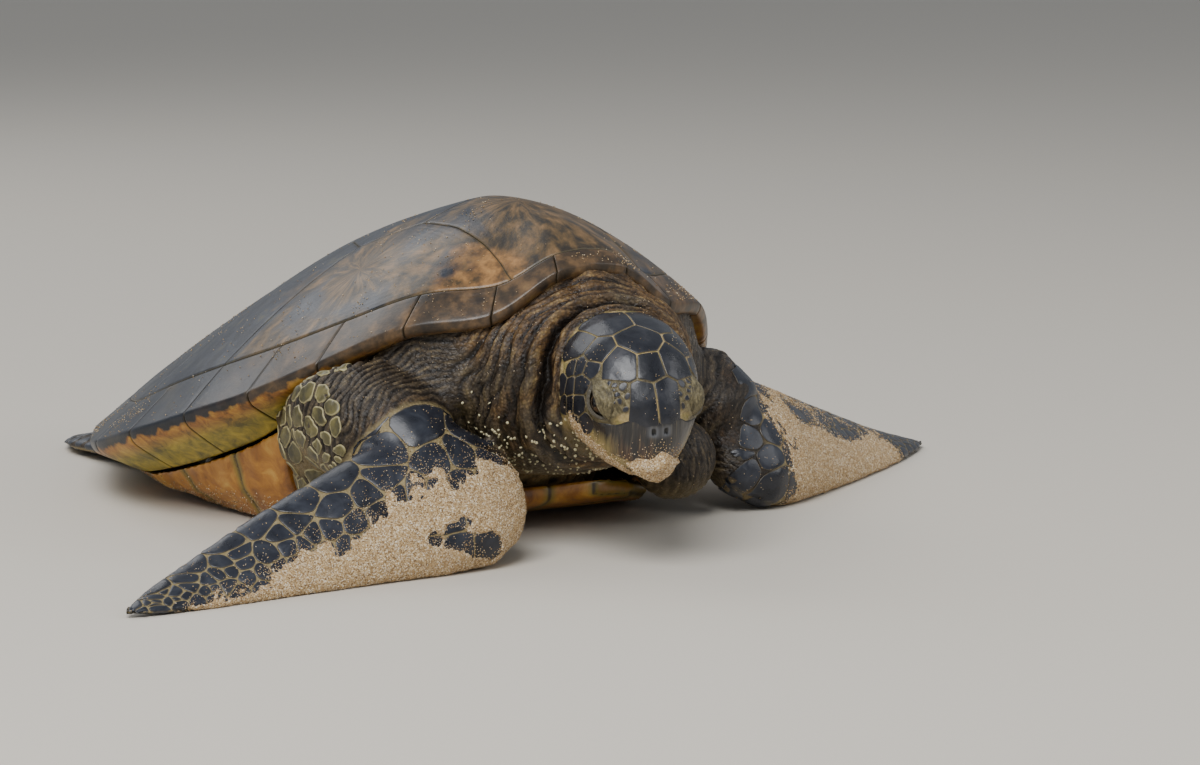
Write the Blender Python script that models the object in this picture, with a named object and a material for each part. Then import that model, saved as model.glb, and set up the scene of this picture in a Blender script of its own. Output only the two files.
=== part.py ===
"""A green sea turtle at rest on a beach, life size, built as a still museum model.

Metres, +Z up. The turtle faces -Y with its left side at +X, and lies with its belly on the floor
at z = 0, the origin under the middle of the shell. Each scute of the shell, each limb and each
horny part is its own solid, with a hairline gap to its neighbours.
"""

import math

import bmesh
import bpy
from mathutils import Matrix, Vector

# Driving dimensions ---------------------------------------------------------------------------
GAP = 0.0005          # clearance left between the parts of the head
ROOM = 0.0012         # clearance left round a part of the body where a neighbour gives way to it
RIM_ROOM = 0.006      # clearance left under the rim of the shell
SEAM = 0.0008         # width of the seam between two scutes of the shell
PLATE = 0.008         # thickness of a scute with the bone under it
RIM_EDGE = 0.012      # height of the shell's outer edge
RIM_LEAN = 0.003      # the edge leans in this much towards its foot
RIM_COVER = 0.030     # how far past the rim the room for it reaches
SPINE_TO_RIM = 0.30   # length of the way from spine to rim, for turning a length into a share
MARGINAL = 0.10       # length of a marginal scute along the rim
SPINE_SHARE = 0.74    # the spine's length as a share of the shell's
RIM_SHARE = 0.83      # share of the way from spine to rim where the marginal scutes begin
TAIL_SEAM = 12.5      # the rim is counted in marginal scutes: 0 at the nape, 12.5 at the tail
NUCHAL_SEAM = 0.5     # half the width of the nuchal scute on that count
BELLY = 0.020         # thickness of the plastron
ROUNDING = 0.006      # its sides are this much thinner, above and below

# The rim of the carapace at each marginal seam: count, x, y, z of its edge, then the two powers
# of the profile from spine to rim: how round the back is, and how straight the flank.
RIM = [
    (0.0, 0.000, -0.450, 0.292, 1.75, 0.90),
    (0.5, 0.042, -0.448, 0.285, 1.75, 0.91),
    (1.5, 0.108, -0.428, 0.244, 1.72, 0.95),
    (2.5, 0.180, -0.375, 0.230, 1.65, 0.98),
    (3.5, 0.239, -0.300, 0.189, 1.70, 1.02),
    (4.5, 0.281, -0.226, 0.153, 1.72, 1.03),
    (5.5, 0.311, -0.138, 0.122, 1.7, 1.05),
    (6.5, 0.328, -0.042, 0.092, 1.6, 1.05),
    (7.5, 0.320, 0.060, 0.066, 1.45, 1.05),
    (8.5, 0.280, 0.160, 0.055, 1.4, 1.05),
    (9.5, 0.226, 0.258, 0.050, 1.4, 1.05),
    (10.5, 0.160, 0.346, 0.049, 1.45, 1.05),
    (11.5, 0.084, 0.416, 0.050, 1.5, 1.00),
    (12.5, 0.000, 0.442, 0.053, 1.5, 1.00),
]
# Height of the back along the spine: y, z.
BACK = [(-0.335, 0.335), (-0.29, 0.344), (-0.24, 0.343), (-0.17, 0.328), (-0.08, 0.303),
        (0.00, 0.276), (0.10, 0.238), (0.20, 0.194), (0.28, 0.154), (0.33, 0.127)]
# Where the underside of the rim ends: count, how far in from the edge, how far below it.
UNDERSIDE = [(0.0, 0.022, 0.000), (2.5, 0.030, 0.000), (3.8, 0.040, 0.012), (5.0, 0.048, 0.034),
             (7.0, 0.050, 0.030), (8.2, 0.046, 0.010), (8.9, 0.040, 0.000), (12.5, 0.030, 0.000)]
BRIDGE = (4.5, 8.2)   # the counts between which the bridge joins the rim to the plastron
BRIDGE_WALL = 0.014   # thickness of the bridge
BRIDGE_LIFT = 0.004   # height of its foot above the floor
BRIDGE_GAP = 0.002    # between the bridge and the side of the plastron
BRIDGE_BULGE = 0.006  # how far the wall swells outwards
# Half the width of the plastron, and the height of its underside: y, half width, z.
PLASTRON = [(-0.362, 0.060, 0.034), (-0.350, 0.112, 0.027), (-0.315, 0.152, 0.016),
            (-0.260, 0.182, 0.004), (-0.200, 0.198, 0.000), (-0.100, 0.212, 0.000),
            (0.000, 0.208, 0.000), (0.090, 0.182, 0.000), (0.160, 0.139, 0.000),
            (0.230, 0.099, 0.000), (0.290, 0.062, 0.002), (0.325, 0.028, 0.008)]

# Seams of the shell seen from above, on the left side: x, y.
VERTEBRAL_SEAMS = [(0.074, -0.232), (0.070, -0.070), (0.062, 0.095), (0.046, 0.245)]
VERTEBRAL_POINTS = [(0.108, -0.150), (0.102, 0.014), (0.086, 0.172)]
VERTEBRAL_ENDS = [(0.078, -0.470), (0.110, 0.470)]
COSTAL_ENDS = [(0.360, -0.118), (0.360, 0.060), (0.330, 0.262)]

HEAD_CENTRE = Vector((-0.006, -0.526, 0.175))
HEAD_YAW = math.radians(-13)     # towards the turtle's right
HEAD_PITCH = math.radians(-16)   # nose down
# The head from nape to beak: distance ahead of its centre, half width, half height, rise.
HEAD = [(-0.088, 0.030, 0.030, 0.004), (-0.080, 0.052, 0.050, 0.002), (-0.055, 0.065, 0.064, 0.000),
        (-0.020, 0.071, 0.070, 0.000), (0.015, 0.069, 0.070, -0.001), (0.042, 0.060, 0.065, -0.005),
        (0.064, 0.046, 0.056, -0.011), (0.080, 0.031, 0.044, -0.017), (0.090, 0.018, 0.030, -0.022),
        (0.095, 0.008, 0.014, -0.026)]
MOUTH_CORNER = 0.030    # distance of the mouth's corner ahead of the head's centre
MOUTH_RISE = -0.036     # height of the mouth line at that corner
MOUTH_SLOPE = math.radians(-6)
BEAK_START = 0.054      # the horny beak begins this far ahead of the head's centre
BEAK_TOP = -0.0105      # and reaches up to this height at the nose
EYE = (0.051, 0.0395, 0.009)    # ahead, aside and above the head's centre
EYE_RADIUS = 0.018
BIG_BOX = 0.2           # side of the boxes that part the jaws

# The neck from the trunk to the nape: x, y, z, half width, half height.
NECK = [(0.006, -0.290, 0.160, 0.060, 0.055), (0.006, -0.305, 0.160, 0.126, 0.092),
        (0.006, -0.365, 0.168, 0.143, 0.106), (0.004, -0.425, 0.174, 0.126, 0.100),
        (0.002, -0.456, 0.178, 0.110, 0.093), (-0.002, -0.492, 0.176, 0.082, 0.078),
        (-0.004, -0.507, 0.176, 0.050, 0.050)]

# The upper arms: x, y, z, half width, half height.
ARM_RIGHT = [(-0.196, -0.240, 0.150, 0.030, 0.030), (-0.197, -0.250, 0.148, 0.056, 0.054),
             (-0.200, -0.310, 0.140, 0.072, 0.068), (-0.192, -0.370, 0.118, 0.070, 0.066),
             (-0.184, -0.425, 0.088, 0.050, 0.050), (-0.180, -0.435, 0.082, 0.016, 0.018)]
ARM_LEFT = [(0.205, -0.240, 0.145, 0.030, 0.030), (0.208, -0.250, 0.142, 0.050, 0.050),
            (0.225, -0.290, 0.120, 0.058, 0.058), (0.245, -0.322, 0.092, 0.052, 0.054),
            (0.256, -0.334, 0.078, 0.030, 0.032), (0.260, -0.338, 0.074, 0.010, 0.010)]
# The flippers' sections: x, y, z of the middle, then half the chord towards the leading edge
# (x, y, z), then half the thickness.
FLIPPER_RIGHT = [(-0.094, -0.452, 0.068, 0.000, -0.016, -0.018, 0.014),
                 (-0.108, -0.452, 0.068, 0.000, -0.034, -0.040, 0.031),
                 (-0.145, -0.450, 0.068, 0.000, -0.049, -0.062, 0.043),
                 (-0.200, -0.450, 0.066, 0.000, -0.052, -0.067, 0.042),
                 (-0.260, -0.458, 0.056, 0.000, -0.046, -0.057, 0.032),
                 (-0.330, -0.469, 0.043, 0.004, -0.041, -0.044, 0.022),
                 (-0.400, -0.481, 0.030, 0.008, -0.036, -0.030, 0.015),
                 (-0.460, -0.495, 0.019, 0.010, -0.030, -0.018, 0.010),
                 (-0.515, -0.509, 0.010, 0.011, -0.021, -0.008, 0.007),
                 (-0.550, -0.520, 0.006, 0.007, -0.010, -0.002, 0.004),
                 (-0.560, -0.524, 0.004, 0.003, -0.004, -0.001, 0.002)]
FLIPPER_LEFT = [(0.212, -0.345, 0.066, -0.004, -0.016, -0.018, 0.014),
                (0.226, -0.342, 0.066, -0.004, -0.034, -0.040, 0.030),
                (0.260, -0.332, 0.066, 0.010, -0.046, -0.061, 0.041),
                (0.310, -0.308, 0.063, 0.014, -0.046, -0.062, 0.038),
                (0.370, -0.276, 0.053, 0.017, -0.042, -0.053, 0.029),
                (0.440, -0.238, 0.041, 0.019, -0.038, -0.042, 0.020),
                (0.510, -0.199, 0.029, 0.019, -0.033, -0.029, 0.014),
                (0.570, -0.166, 0.018, 0.017, -0.027, -0.017, 0.010),
                (0.620, -0.138, 0.010, 0.012, -0.019, -0.008, 0.007),
                (0.650, -0.122, 0.006, 0.007, -0.010, -0.002, 0.004),
                (0.660, -0.117, 0.004, 0.003, -0.004, -0.001, 0.002)]
HIND_LEFT = [(0.112, 0.120, 0.056, 0.012, -0.004, 0.000, 0.008),
             (0.114, 0.128, 0.055, 0.034, -0.010, 0.000, 0.020),
             (0.130, 0.165, 0.046, 0.042, -0.012, 0.000, 0.021),
             (0.152, 0.212, 0.030, 0.046, -0.010, 0.000, 0.018),
             (0.163, 0.262, 0.018, 0.050, -0.006, 0.000, 0.015),
             (0.166, 0.312, 0.015, 0.054, -0.004, 0.000, 0.013),
             (0.167, 0.360, 0.012, 0.054, -0.006, 0.000, 0.011),
             (0.167, 0.400, 0.009, 0.044, -0.008, 0.000, 0.008),
             (0.168, 0.425, 0.006, 0.028, -0.006, 0.000, 0.006),
             (0.169, 0.434, 0.004, 0.010, -0.002, 0.000, 0.003)]
THIGH_SHARE = 3     # the thigh is the first sections of the hind leg, up to this one
# The tail: x, y, z, half width, half height.
TAIL = [(0.000, 0.330, 0.018, 0.010, 0.008), (0.000, 0.338, 0.018, 0.024, 0.015),
        (0.000, 0.400, 0.017, 0.022, 0.014), (0.004, 0.450, 0.014, 0.016, 0.012),
        (0.009, 0.490, 0.009, 0.009, 0.008), (0.012, 0.508, 0.005, 0.004, 0.004)]

COVER_SHARE = 0.60                              # the room for the rim starts this far out
SHARES = (0.0, 0.13, 0.27, 0.41, 0.55, 0.69)    # steps from spine towards rim
TRUNK_SHARE = 0.79                              # the trunk fills the shell this far out
BELLY_REACH = (0.55, 0.76, 0.70)                # and the plastron this far: aside, ahead, behind
CHEST_BULGE = 0.022                             # fullness of the skin between neck and plastron
SIDES = 16                                      # sides of a limb, and of the neck
HEAD_SIDES = 20

FINISHES = {
    "carapace": ("2E3036", 0.28), "marginal": ("4A3A22", 0.30), "plastron": ("9A6A30", 0.45),
    "skin": ("6B5539", 0.62), "head": ("34373F", 0.42), "flipper": ("3F424E", 0.40),
    "beak": ("7A5A3A", 0.40), "jaw": ("A3905A", 0.50), "eye": ("14100C", 0.06),
}


# Small tools ----------------------------------------------------------------------------------
def clear_scene():
    for thing in list(bpy.data.objects):
        bpy.data.objects.remove(thing, do_unlink=True)


def new_collection(name, hidden=False):
    collection = bpy.data.collections.new(name)
    collection.hide_render = hidden
    bpy.context.scene.collection.children.link(collection)
    return collection


def finish_for(name, kind):
    colour, roughness = FINISHES[kind]
    material = bpy.data.materials.new(f"{kind}_{name}")
    material.use_nodes = True
    shader = material.node_tree.nodes["Principled BSDF"]
    channels = [int(colour[i:i + 2], 16) / 255 for i in (0, 2, 4)]
    linear = [c / 12.92 if c <= 0.04045 else ((c + 0.055) / 1.055) ** 2.4 for c in channels]
    shader.inputs["Base Color"].default_value = (*linear, 1)
    shader.inputs["Roughness"].default_value = roughness
    material.diffuse_color = (*linear, 1)
    return material


def add_object(name, mesh, kind):
    """Adds a node of the turtle to its collection."""
    thing = bpy.data.objects.new(name, mesh)
    thing.data.materials.append(finish_for(name, kind))
    TURTLE.objects.link(thing)
    return thing


def add_cutter(name, mesh):
    thing = bpy.data.objects.new(name, mesh)
    thing.hide_render = True
    thing.display_type = "WIRE"
    CUTTERS.objects.link(thing)
    return thing


def mesh_of(name, points, faces):
    """One closed mesh, with doubled points joined and its faces turned outwards."""
    work = bmesh.new()
    corners = [work.verts.new(point) for point in points]
    for face in faces:
        if len(set(face)) > 2:
            work.faces.new([corners[i] for i in face])
    bmesh.ops.remove_doubles(work, verts=work.verts, dist=0.00001)
    bmesh.ops.dissolve_degenerate(work, edges=work.edges, dist=0.00001)
    bmesh.ops.recalc_face_normals(work, faces=work.faces)
    mesh = bpy.data.meshes.new(name)
    work.to_mesh(mesh)
    work.free()
    return mesh


def read_table(table, key, columns):
    """Values of a table at a key, on a smooth curve through its rows."""
    rows = [row[:1] + row[1:1 + columns] for row in table]
    key = min(max(key, rows[0][0]), rows[-1][0])
    low = max(i for i in range(len(rows) - 1) if rows[i][0] <= key)
    before, start, end, after = (rows[min(max(low + i, 0), len(rows) - 1)] for i in (-1, 0, 1, 2))
    span = end[0] - start[0]
    part = (key - start[0]) / span
    values = []
    for column in range(1, columns + 1):
        rise = (end[column] - start[column]) / span
        lean_in = (end[column] - before[column]) / (end[0] - before[0]) if low else rise
        last = low == len(rows) - 2
        lean_out = rise if last else (after[column] - start[column]) / (after[0] - start[0])
        values.append((2 * part ** 3 - 3 * part ** 2 + 1) * start[column]
                      + (part ** 3 - 2 * part ** 2 + part) * span * lean_in
                      + (3 * part ** 2 - 2 * part ** 3) * end[column]
                      + (part ** 3 - part ** 2) * span * lean_out)
    return values


def oval(centre, across, upward, power=2.2, sides=SIDES):
    """A rounded ring of points round a centre."""
    ring = []
    for step in range(sides):
        turn = 2 * math.pi * step / sides
        wide = math.copysign(abs(math.cos(turn)) ** (2 / power), math.cos(turn))
        high = math.copysign(abs(math.sin(turn)) ** (2 / power), math.sin(turn))
        ring.append(centre + across * wide + upward * high)
    return ring


def loft(name, rings, floor=None):
    """A closed mesh through rings of equal count, with a point at the middle of each end."""
    sides = len(rings[0])
    points = [point for ring in rings for point in ring]
    points += [sum(ring, Vector()) / sides for ring in (rings[0], rings[-1])]
    if floor is not None:
        points = [Vector((p.x, p.y, max(p.z, floor))) for p in points]
    faces = []
    for row in range(len(rings) - 1):
        for i in range(sides):
            j = (i + 1) % sides
            low, high = row * sides, (row + 1) * sides
            faces.append((low + i, low + j, high + j, high + i))
    last = (len(rings) - 1) * sides
    for i in range(sides):
        j = (i + 1) % sides
        faces.append((len(points) - 2, j, i))
        faces.append((len(points) - 1, last + i, last + j))
    return mesh_of(name, points, faces)


def tube_rings(table, grow=0.0, sides=SIDES):
    """Rings of a round part from rows of x, y, z, half width, half height."""
    rings = []
    for i, (x, y, z, wide, high) in enumerate(table):
        ahead = Vector(table[min(i + 1, len(table) - 1)][:3]) - Vector(table[max(i - 1, 0)][:3])
        across = ahead.cross(Vector((0, 0, 1))).normalized()
        upward = across.cross(ahead).normalized()
        centre = Vector((x, y, z))
        if grow and i in (0, len(table) - 1):
            centre += ahead.normalized() * math.copysign(grow, i - 0.5)
        rings.append(oval(centre, across * (wide + grow), upward * (high + grow), sides=sides))
    return rings


def limb_rings(table, grow=0.0):
    """Rings of a flattened limb from rows of middle, half chord and half thickness."""
    rings = []
    for i, row in enumerate(table):
        centre, chord = Vector(row[:3]), Vector(row[3:6])
        ahead = Vector(table[min(i + 1, len(table) - 1)][:3]) - Vector(table[max(i - 1, 0)][:3])
        thick = chord.cross(ahead).normalized() * (row[6] + grow)
        if grow and i in (0, len(table) - 1):
            centre += ahead.normalized() * math.copysign(grow, i - 0.5)
        rings.append(oval(centre, chord * (1 + grow / chord.length), thick, power=2.1))
    return rings


def cut(thing, cutter, operation="DIFFERENCE"):
    modifier = thing.modifiers.new(f"{operation.lower()}_{cutter.name}", "BOOLEAN")
    modifier.operation = operation
    modifier.solver = "EXACT"
    modifier.object = cutter


def box_mesh(name, size, placed):
    """A box of three sides, moved and turned by a matrix."""
    work = bmesh.new()
    bmesh.ops.create_cube(work, size=1.0)
    bmesh.ops.scale(work, vec=size, verts=work.verts)
    bmesh.ops.transform(work, matrix=placed, verts=work.verts)
    mesh = bpy.data.meshes.new(name)
    work.to_mesh(mesh)
    work.free()
    return mesh


# The shell ------------------------------------------------------------------------------------
def rim_at(count):
    """Rim point and profile powers at a count, which is negative on the right side."""
    if abs(count) > TAIL_SEAM:
        count = math.copysign(2 * TAIL_SEAM - abs(count), -count)
    x, y, z, round_power, flank_power = read_table(RIM, abs(count), 5)
    return Vector((math.copysign(x, count), y, z)), round_power, flank_power


def on_shell(count, share, depth=0.0):
    """A point of the carapace: a share of the way from the spine to the rim, some depth inside."""
    def at(count, share):
        rim, round_power, flank_power = rim_at(count)
        foot_y = rim.y * SPINE_SHARE
        foot_z = read_table(BACK, foot_y, 1)[0]
        bulge = (1 - share ** round_power) ** flank_power
        return Vector((rim.x * share, foot_y + (rim.y - foot_y) * share,
                       rim.z + (foot_z - rim.z) * bulge))
    point = at(count, share)
    if not depth:
        return point
    if share == 0:
        slope = (read_table(BACK, point.y + 0.005, 1)[0]
                 - read_table(BACK, point.y - 0.005, 1)[0]) / 0.01
        return point - Vector((0, -slope, 1)).normalized() * depth
    near = min(share, 0.97)
    outward = at(count, near + 0.02) - at(count, near - 0.02)
    along = at(count + 0.1, near) - at(count - 0.1, near)
    normal = along.cross(outward).normalized()
    return point - (normal if normal.z > 0 else -normal) * depth


def counts_between(first, last, step=0.5):
    steps = max(1, round((last - first) / step))
    return [first + (last - first) * i / steps for i in range(steps + 1)]


def dome_mesh():
    """The inner field of the carapace as one thick shell, before its seams are cut."""
    edge = RIM_SHARE - SEAM / 2 / SPINE_TO_RIM
    shares = SHARES + (edge,)
    counts = counts_between(-TAIL_SEAM, TAIL_SEAM)[:-1]
    rows = [(share, depth) for depth, order in ((0.0, shares), (PLATE, shares[::-1]))
            for share in order]
    points = [on_shell(count, share, depth) for count in counts for share, depth in rows]
    faces = []
    for column in range(len(counts)):
        beside = (column + 1) % len(counts)
        for row in range(len(rows) - 1):
            a, b = column * len(rows) + row, beside * len(rows) + row
            faces.append((a, b, b + 1, a + 1))
    return mesh_of("dome", points, faces)


def scute_mesh(name, dome, outline):
    """The part of the dome inside a convex outline seen from above, held back by half a seam."""
    work = bmesh.new()
    work.from_mesh(dome)
    middle = sum((Vector(corner) for corner in outline), Vector((0, 0))) / len(outline)
    for start, end in zip(outline, outline[1:] + outline[:1]):
        start, end = Vector(start), Vector(end)
        away = Vector((end.y - start.y, start.x - end.x)).normalized()
        if away.dot(middle - start) > 0:
            away.negate()
        place = start - away * SEAM / 2
        everything = list(work.verts) + list(work.edges) + list(work.faces)
        sliced = bmesh.ops.bisect_plane(
            work, geom=everything, plane_co=(place.x, place.y, 0), plane_no=(away.x, away.y, 0),
            clear_outer=True, dist=0.000001)
        rim = [item for item in sliced["geom_cut"] if isinstance(item, bmesh.types.BMEdge)]
        if rim:
            bmesh.ops.triangle_fill(work, edges=rim, use_beauty=True)
    bmesh.ops.remove_doubles(work, verts=work.verts, dist=0.00001)
    bmesh.ops.recalc_face_normals(work, faces=work.faces)
    mesh = bpy.data.meshes.new(name)
    work.to_mesh(mesh)
    work.free()
    return mesh


def mirrored(outline):
    return [(-x, y) for x, y in outline]


def make_scutes():
    dome = dome_mesh()
    seams, tips = VERTEBRAL_SEAMS, VERTEBRAL_POINTS
    front, rear = VERTEBRAL_ENDS
    halves = [[front, seams[0]],
              [seams[0], tips[0], seams[1]],
              [seams[1], tips[1], seams[2]],
              [seams[2], tips[2], seams[3]],
              [seams[3], rear]]
    for number, half in enumerate(halves, 1):
        name = f"vertebral_{number}"
        add_object(name, scute_mesh(name, dome, half + mirrored(half)[::-1]), "carapace")
    corner_front, corner_rear = (0.45, -0.50), (0.45, 0.50)
    costals = [[front, seams[0], tips[0], COSTAL_ENDS[0], corner_front],
               [tips[0], seams[1], tips[1], COSTAL_ENDS[1], COSTAL_ENDS[0]],
               [tips[1], seams[2], tips[2], COSTAL_ENDS[2], COSTAL_ENDS[1]],
               [tips[2], seams[3], rear, corner_rear, COSTAL_ENDS[2]]]
    for number, outline in enumerate(costals, 1):
        for side, shape in (("left", outline), ("right", mirrored(outline))):
            name = f"costal_{side}_{number}"
            add_object(name, scute_mesh(name, dome, shape), "carapace")


def rim_section(count, grow=0.0):
    """Section of the shell's rim: over the top, round the edge and in along the underside."""
    inner = RIM_SHARE + SEAM / 2 / SPINE_TO_RIM
    inward_by, below_by = read_table(UNDERSIDE, abs(count), 2)
    edge = on_shell(count, 1.0)
    inward = Vector((-edge.x, on_shell(count, 0.0).y - edge.y, 0)).normalized()
    lower = edge + inward * RIM_LEAN - Vector((0, 0, RIM_EDGE + grow))
    under = lower + inward * inward_by - Vector((0, 0, below_by))
    if grow:
        outside = edge - inward * RIM_COVER
        return [on_shell(count, COVER_SHARE, -RIM_COVER), outside + Vector((0, 0, RIM_COVER)),
                outside - Vector((0, 0, RIM_EDGE)), lower, under + inward * grow,
                on_shell(count, inner, PLATE + grow), on_shell(count, COVER_SHARE, PLATE + grow)]
    return [on_shell(count, inner), on_shell(count, 0.92), edge, lower, under,
            on_shell(count, inner, PLATE)]


def sweep_mesh(name, sections):
    """A closed mesh through open-ended sections of equal count."""
    sides = len(sections[0])
    points = [point for section in sections for point in section]
    faces = []
    for row in range(len(sections) - 1):
        for i in range(sides):
            j = (i + 1) % sides
            low, high = row * sides, (row + 1) * sides
            faces.append((low + i, low + j, high + j, high + i))
    faces.append(tuple(range(sides)))
    faces.append(tuple(range(len(points) - sides, len(points))))
    return mesh_of(name, points, faces)


def make_rim():
    half_seam = SEAM / 2 / MARGINAL
    nuchal = counts_between(-NUCHAL_SEAM + half_seam, NUCHAL_SEAM - half_seam, 0.25)
    add_object("nuchal", sweep_mesh("nuchal", [rim_section(c) for c in nuchal]), "marginal")
    side = counts_between(NUCHAL_SEAM + half_seam, TAIL_SEAM - half_seam)
    for name, sign in (("marginals_left", 1), ("marginals_right", -1)):
        add_object(name, sweep_mesh(name, [rim_section(sign * c) for c in side]), "marginal")


def plastron_at(y):
    half_width, under = read_table(PLASTRON, y, 2)
    return half_width, max(under, 0.0)


def plastron_mesh():
    """The belly plate: flat on the floor, with rounded sides and a raised front edge."""
    across = (-1.0, -0.93, -0.5, 0.0, 0.5, 0.93, 1.0)
    rings = []
    for y, half_width, under in PLASTRON:
        lower = [Vector((half_width * u, y, under + ROUNDING * (abs(u) == 1))) for u in across]
        upper = [point + Vector((0, 0, BELLY - 2 * ROUNDING * (abs(u) == 1)))
                 for point, u in zip(lower, across)]
        rings.append(lower + upper[::-1])
    return loft("plastron", rings)


def bridge_section(count):
    """Section of the bridge wall between the underside of the rim and the plastron's side."""
    under = rim_section(count)[4]
    beside, _ = plastron_at(under.y)
    side = math.copysign(1, count)
    outward, drop = Vector((side, 0, 0)), Vector((0, 0, GAP))
    in_low = Vector((side * (beside + BRIDGE_GAP), under.y, BRIDGE_LIFT))
    out_low = in_low + outward * BRIDGE_WALL
    in_mid = in_low + Vector((0, 0, BELLY))
    swell = (under + out_low) / 2 + outward * BRIDGE_BULGE - Vector((0, 0, BRIDGE_LIFT))
    return [under + outward * BRIDGE_GAP - drop * 3, swell, out_low, in_low, in_mid,
            under - outward * BRIDGE_WALL - drop * 2]


def make_belly():
    add_object("plastron", plastron_mesh(), "plastron")
    for name, sign in (("bridge_left", 1), ("bridge_right", -1)):
        sections = [bridge_section(sign * count) for count in counts_between(*BRIDGE)]
        add_object(name, sweep_mesh(name, sections), "plastron")


# The body -------------------------------------------------------------------------------------
def trunk_section(count):
    """Half a section of the trunk, from the spine out under the rim and in over the plastron."""
    section = [on_shell(count, share, PLATE + 0.0025) for share in SHARES + (TRUNK_SHARE,)]
    under = rim_section(count)[4]
    rim, outer, foot = on_shell(count, 1.0), section[-1], on_shell(count, 0.0)
    reach = (outer - foot).xy.length
    inside = min(0.97, ((under - foot).xy.length - 0.004) / reach)
    low = foot.lerp(outer, inside)
    low.z = max(under.z + 0.006, 0.040)
    over = Vector((rim.x * BELLY_REACH[0], rim.y * BELLY_REACH[1 if rim.y < 0 else 2], 0))
    over.z = plastron_at(over.y)[1] + BELLY + 0.001
    outward = Vector((rim.x, rim.y - foot.y, 0)).normalized()
    bulge = (low + over) / 2 + outward * CHEST_BULGE * max(0.0, 1 - abs(count) / 4)
    middle = Vector((0, over.y * 0.6, BELLY + 0.001))
    return section + [low, bulge, over, middle]


def trunk_mesh():
    counts = counts_between(-TAIL_SEAM, TAIL_SEAM)[:-1]
    sections = [trunk_section(count) for count in counts]
    rows = len(sections[0])
    points = [point for section in sections for point in section]
    faces = []
    for column in range(len(counts)):
        beside = (column + 1) % len(counts)
        for row in range(rows - 1):
            a, b = column * rows + row, beside * rows + row
            faces.append((a, b, b + 1, a + 1))
    return mesh_of("trunk", points, faces)


def head_place():
    turn = Matrix.Rotation(HEAD_YAW, 4, "Z") @ Matrix.Rotation(-HEAD_PITCH, 4, "X")
    return Matrix.Translation(HEAD_CENTRE) @ turn


def in_head(ahead, aside, above):
    """A point of the head's own frame: ahead of its centre, to its left and above."""
    return head_place() @ Vector((aside, -ahead, above))


def head_rings(grow=0.0):
    across = (head_place().to_3x3() @ Vector((1, 0, 0))).normalized()
    upward = (head_place().to_3x3() @ Vector((0, 0, 1))).normalized()
    rings = []
    for i, (ahead, wide, high, rise) in enumerate(HEAD):
        if grow and i in (0, len(HEAD) - 1):
            ahead += math.copysign(grow, i - 0.5)
        rings.append(oval(in_head(ahead, 0, rise), across * (wide + grow), upward * (high + grow),
                          power=2.25, sides=HEAD_SIDES))
    return rings


def mouth_box(name, grow):
    """A big box below the mouth line and ahead of the mouth's corner, for parting the jaws."""
    placed = (head_place() @ Matrix.Translation((0, -MOUTH_CORNER, MOUTH_RISE))
              @ Matrix.Rotation(-MOUTH_SLOPE, 4, "X")
              @ Matrix.Translation((0, grow - BIG_BOX / 2, grow - BIG_BOX / 2)))
    return box_mesh(name, (2 * BIG_BOX, BIG_BOX, BIG_BOX), placed)


def beak_box(name, grow):
    placed = head_place() @ Matrix.Translation(
        (0, grow - BEAK_START - BIG_BOX / 2, grow + BEAK_TOP - BIG_BOX / 2))
    return box_mesh(name, (2 * BIG_BOX, BIG_BOX, BIG_BOX), placed)


def eye_mesh(name, side, radius):
    work = bmesh.new()
    bmesh.ops.create_uvsphere(work, u_segments=16, v_segments=9, radius=radius)
    bmesh.ops.translate(work, vec=in_head(EYE[0], side * EYE[1], EYE[2]), verts=work.verts)
    mesh = bpy.data.meshes.new(name)
    work.to_mesh(mesh)
    work.free()
    return mesh


def make_head():
    """The head with its eyes, upper and lower beak and lower jaw, parted by thin cuts."""
    whole = head_rings()
    below = add_cutter("below_mouth", mouth_box("below_mouth", 0.0))
    below_far = add_cutter("below_far", mouth_box("below_far", GAP))
    front = add_cutter("front_of_head", beak_box("front_of_head", 0.0))
    front_far = add_cutter("front_far", beak_box("front_far", GAP))
    head = add_object("head", loft("head", whole), "head")
    cut(head, below_far)
    cut(head, front_far)
    beak_upper = add_object("beak_upper", loft("beak_upper", whole), "beak")
    cut(beak_upper, front, "INTERSECT")
    cut(beak_upper, below_far)
    jaw = add_object("lower_jaw", loft("lower_jaw", whole), "jaw")
    cut(jaw, below, "INTERSECT")
    cut(jaw, front_far)
    beak_lower = add_object("beak_lower", loft("beak_lower", whole), "beak")
    cut(beak_lower, below, "INTERSECT")
    cut(beak_lower, front, "INTERSECT")
    for side, name in ((1, "eye_left"), (-1, "eye_right")):
        add_object(name, eye_mesh(name, side, EYE_RADIUS), "eye")
        socket = add_cutter(f"socket_{name}", eye_mesh(name, side, EYE_RADIUS + GAP))
        cut(head, socket)


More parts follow.
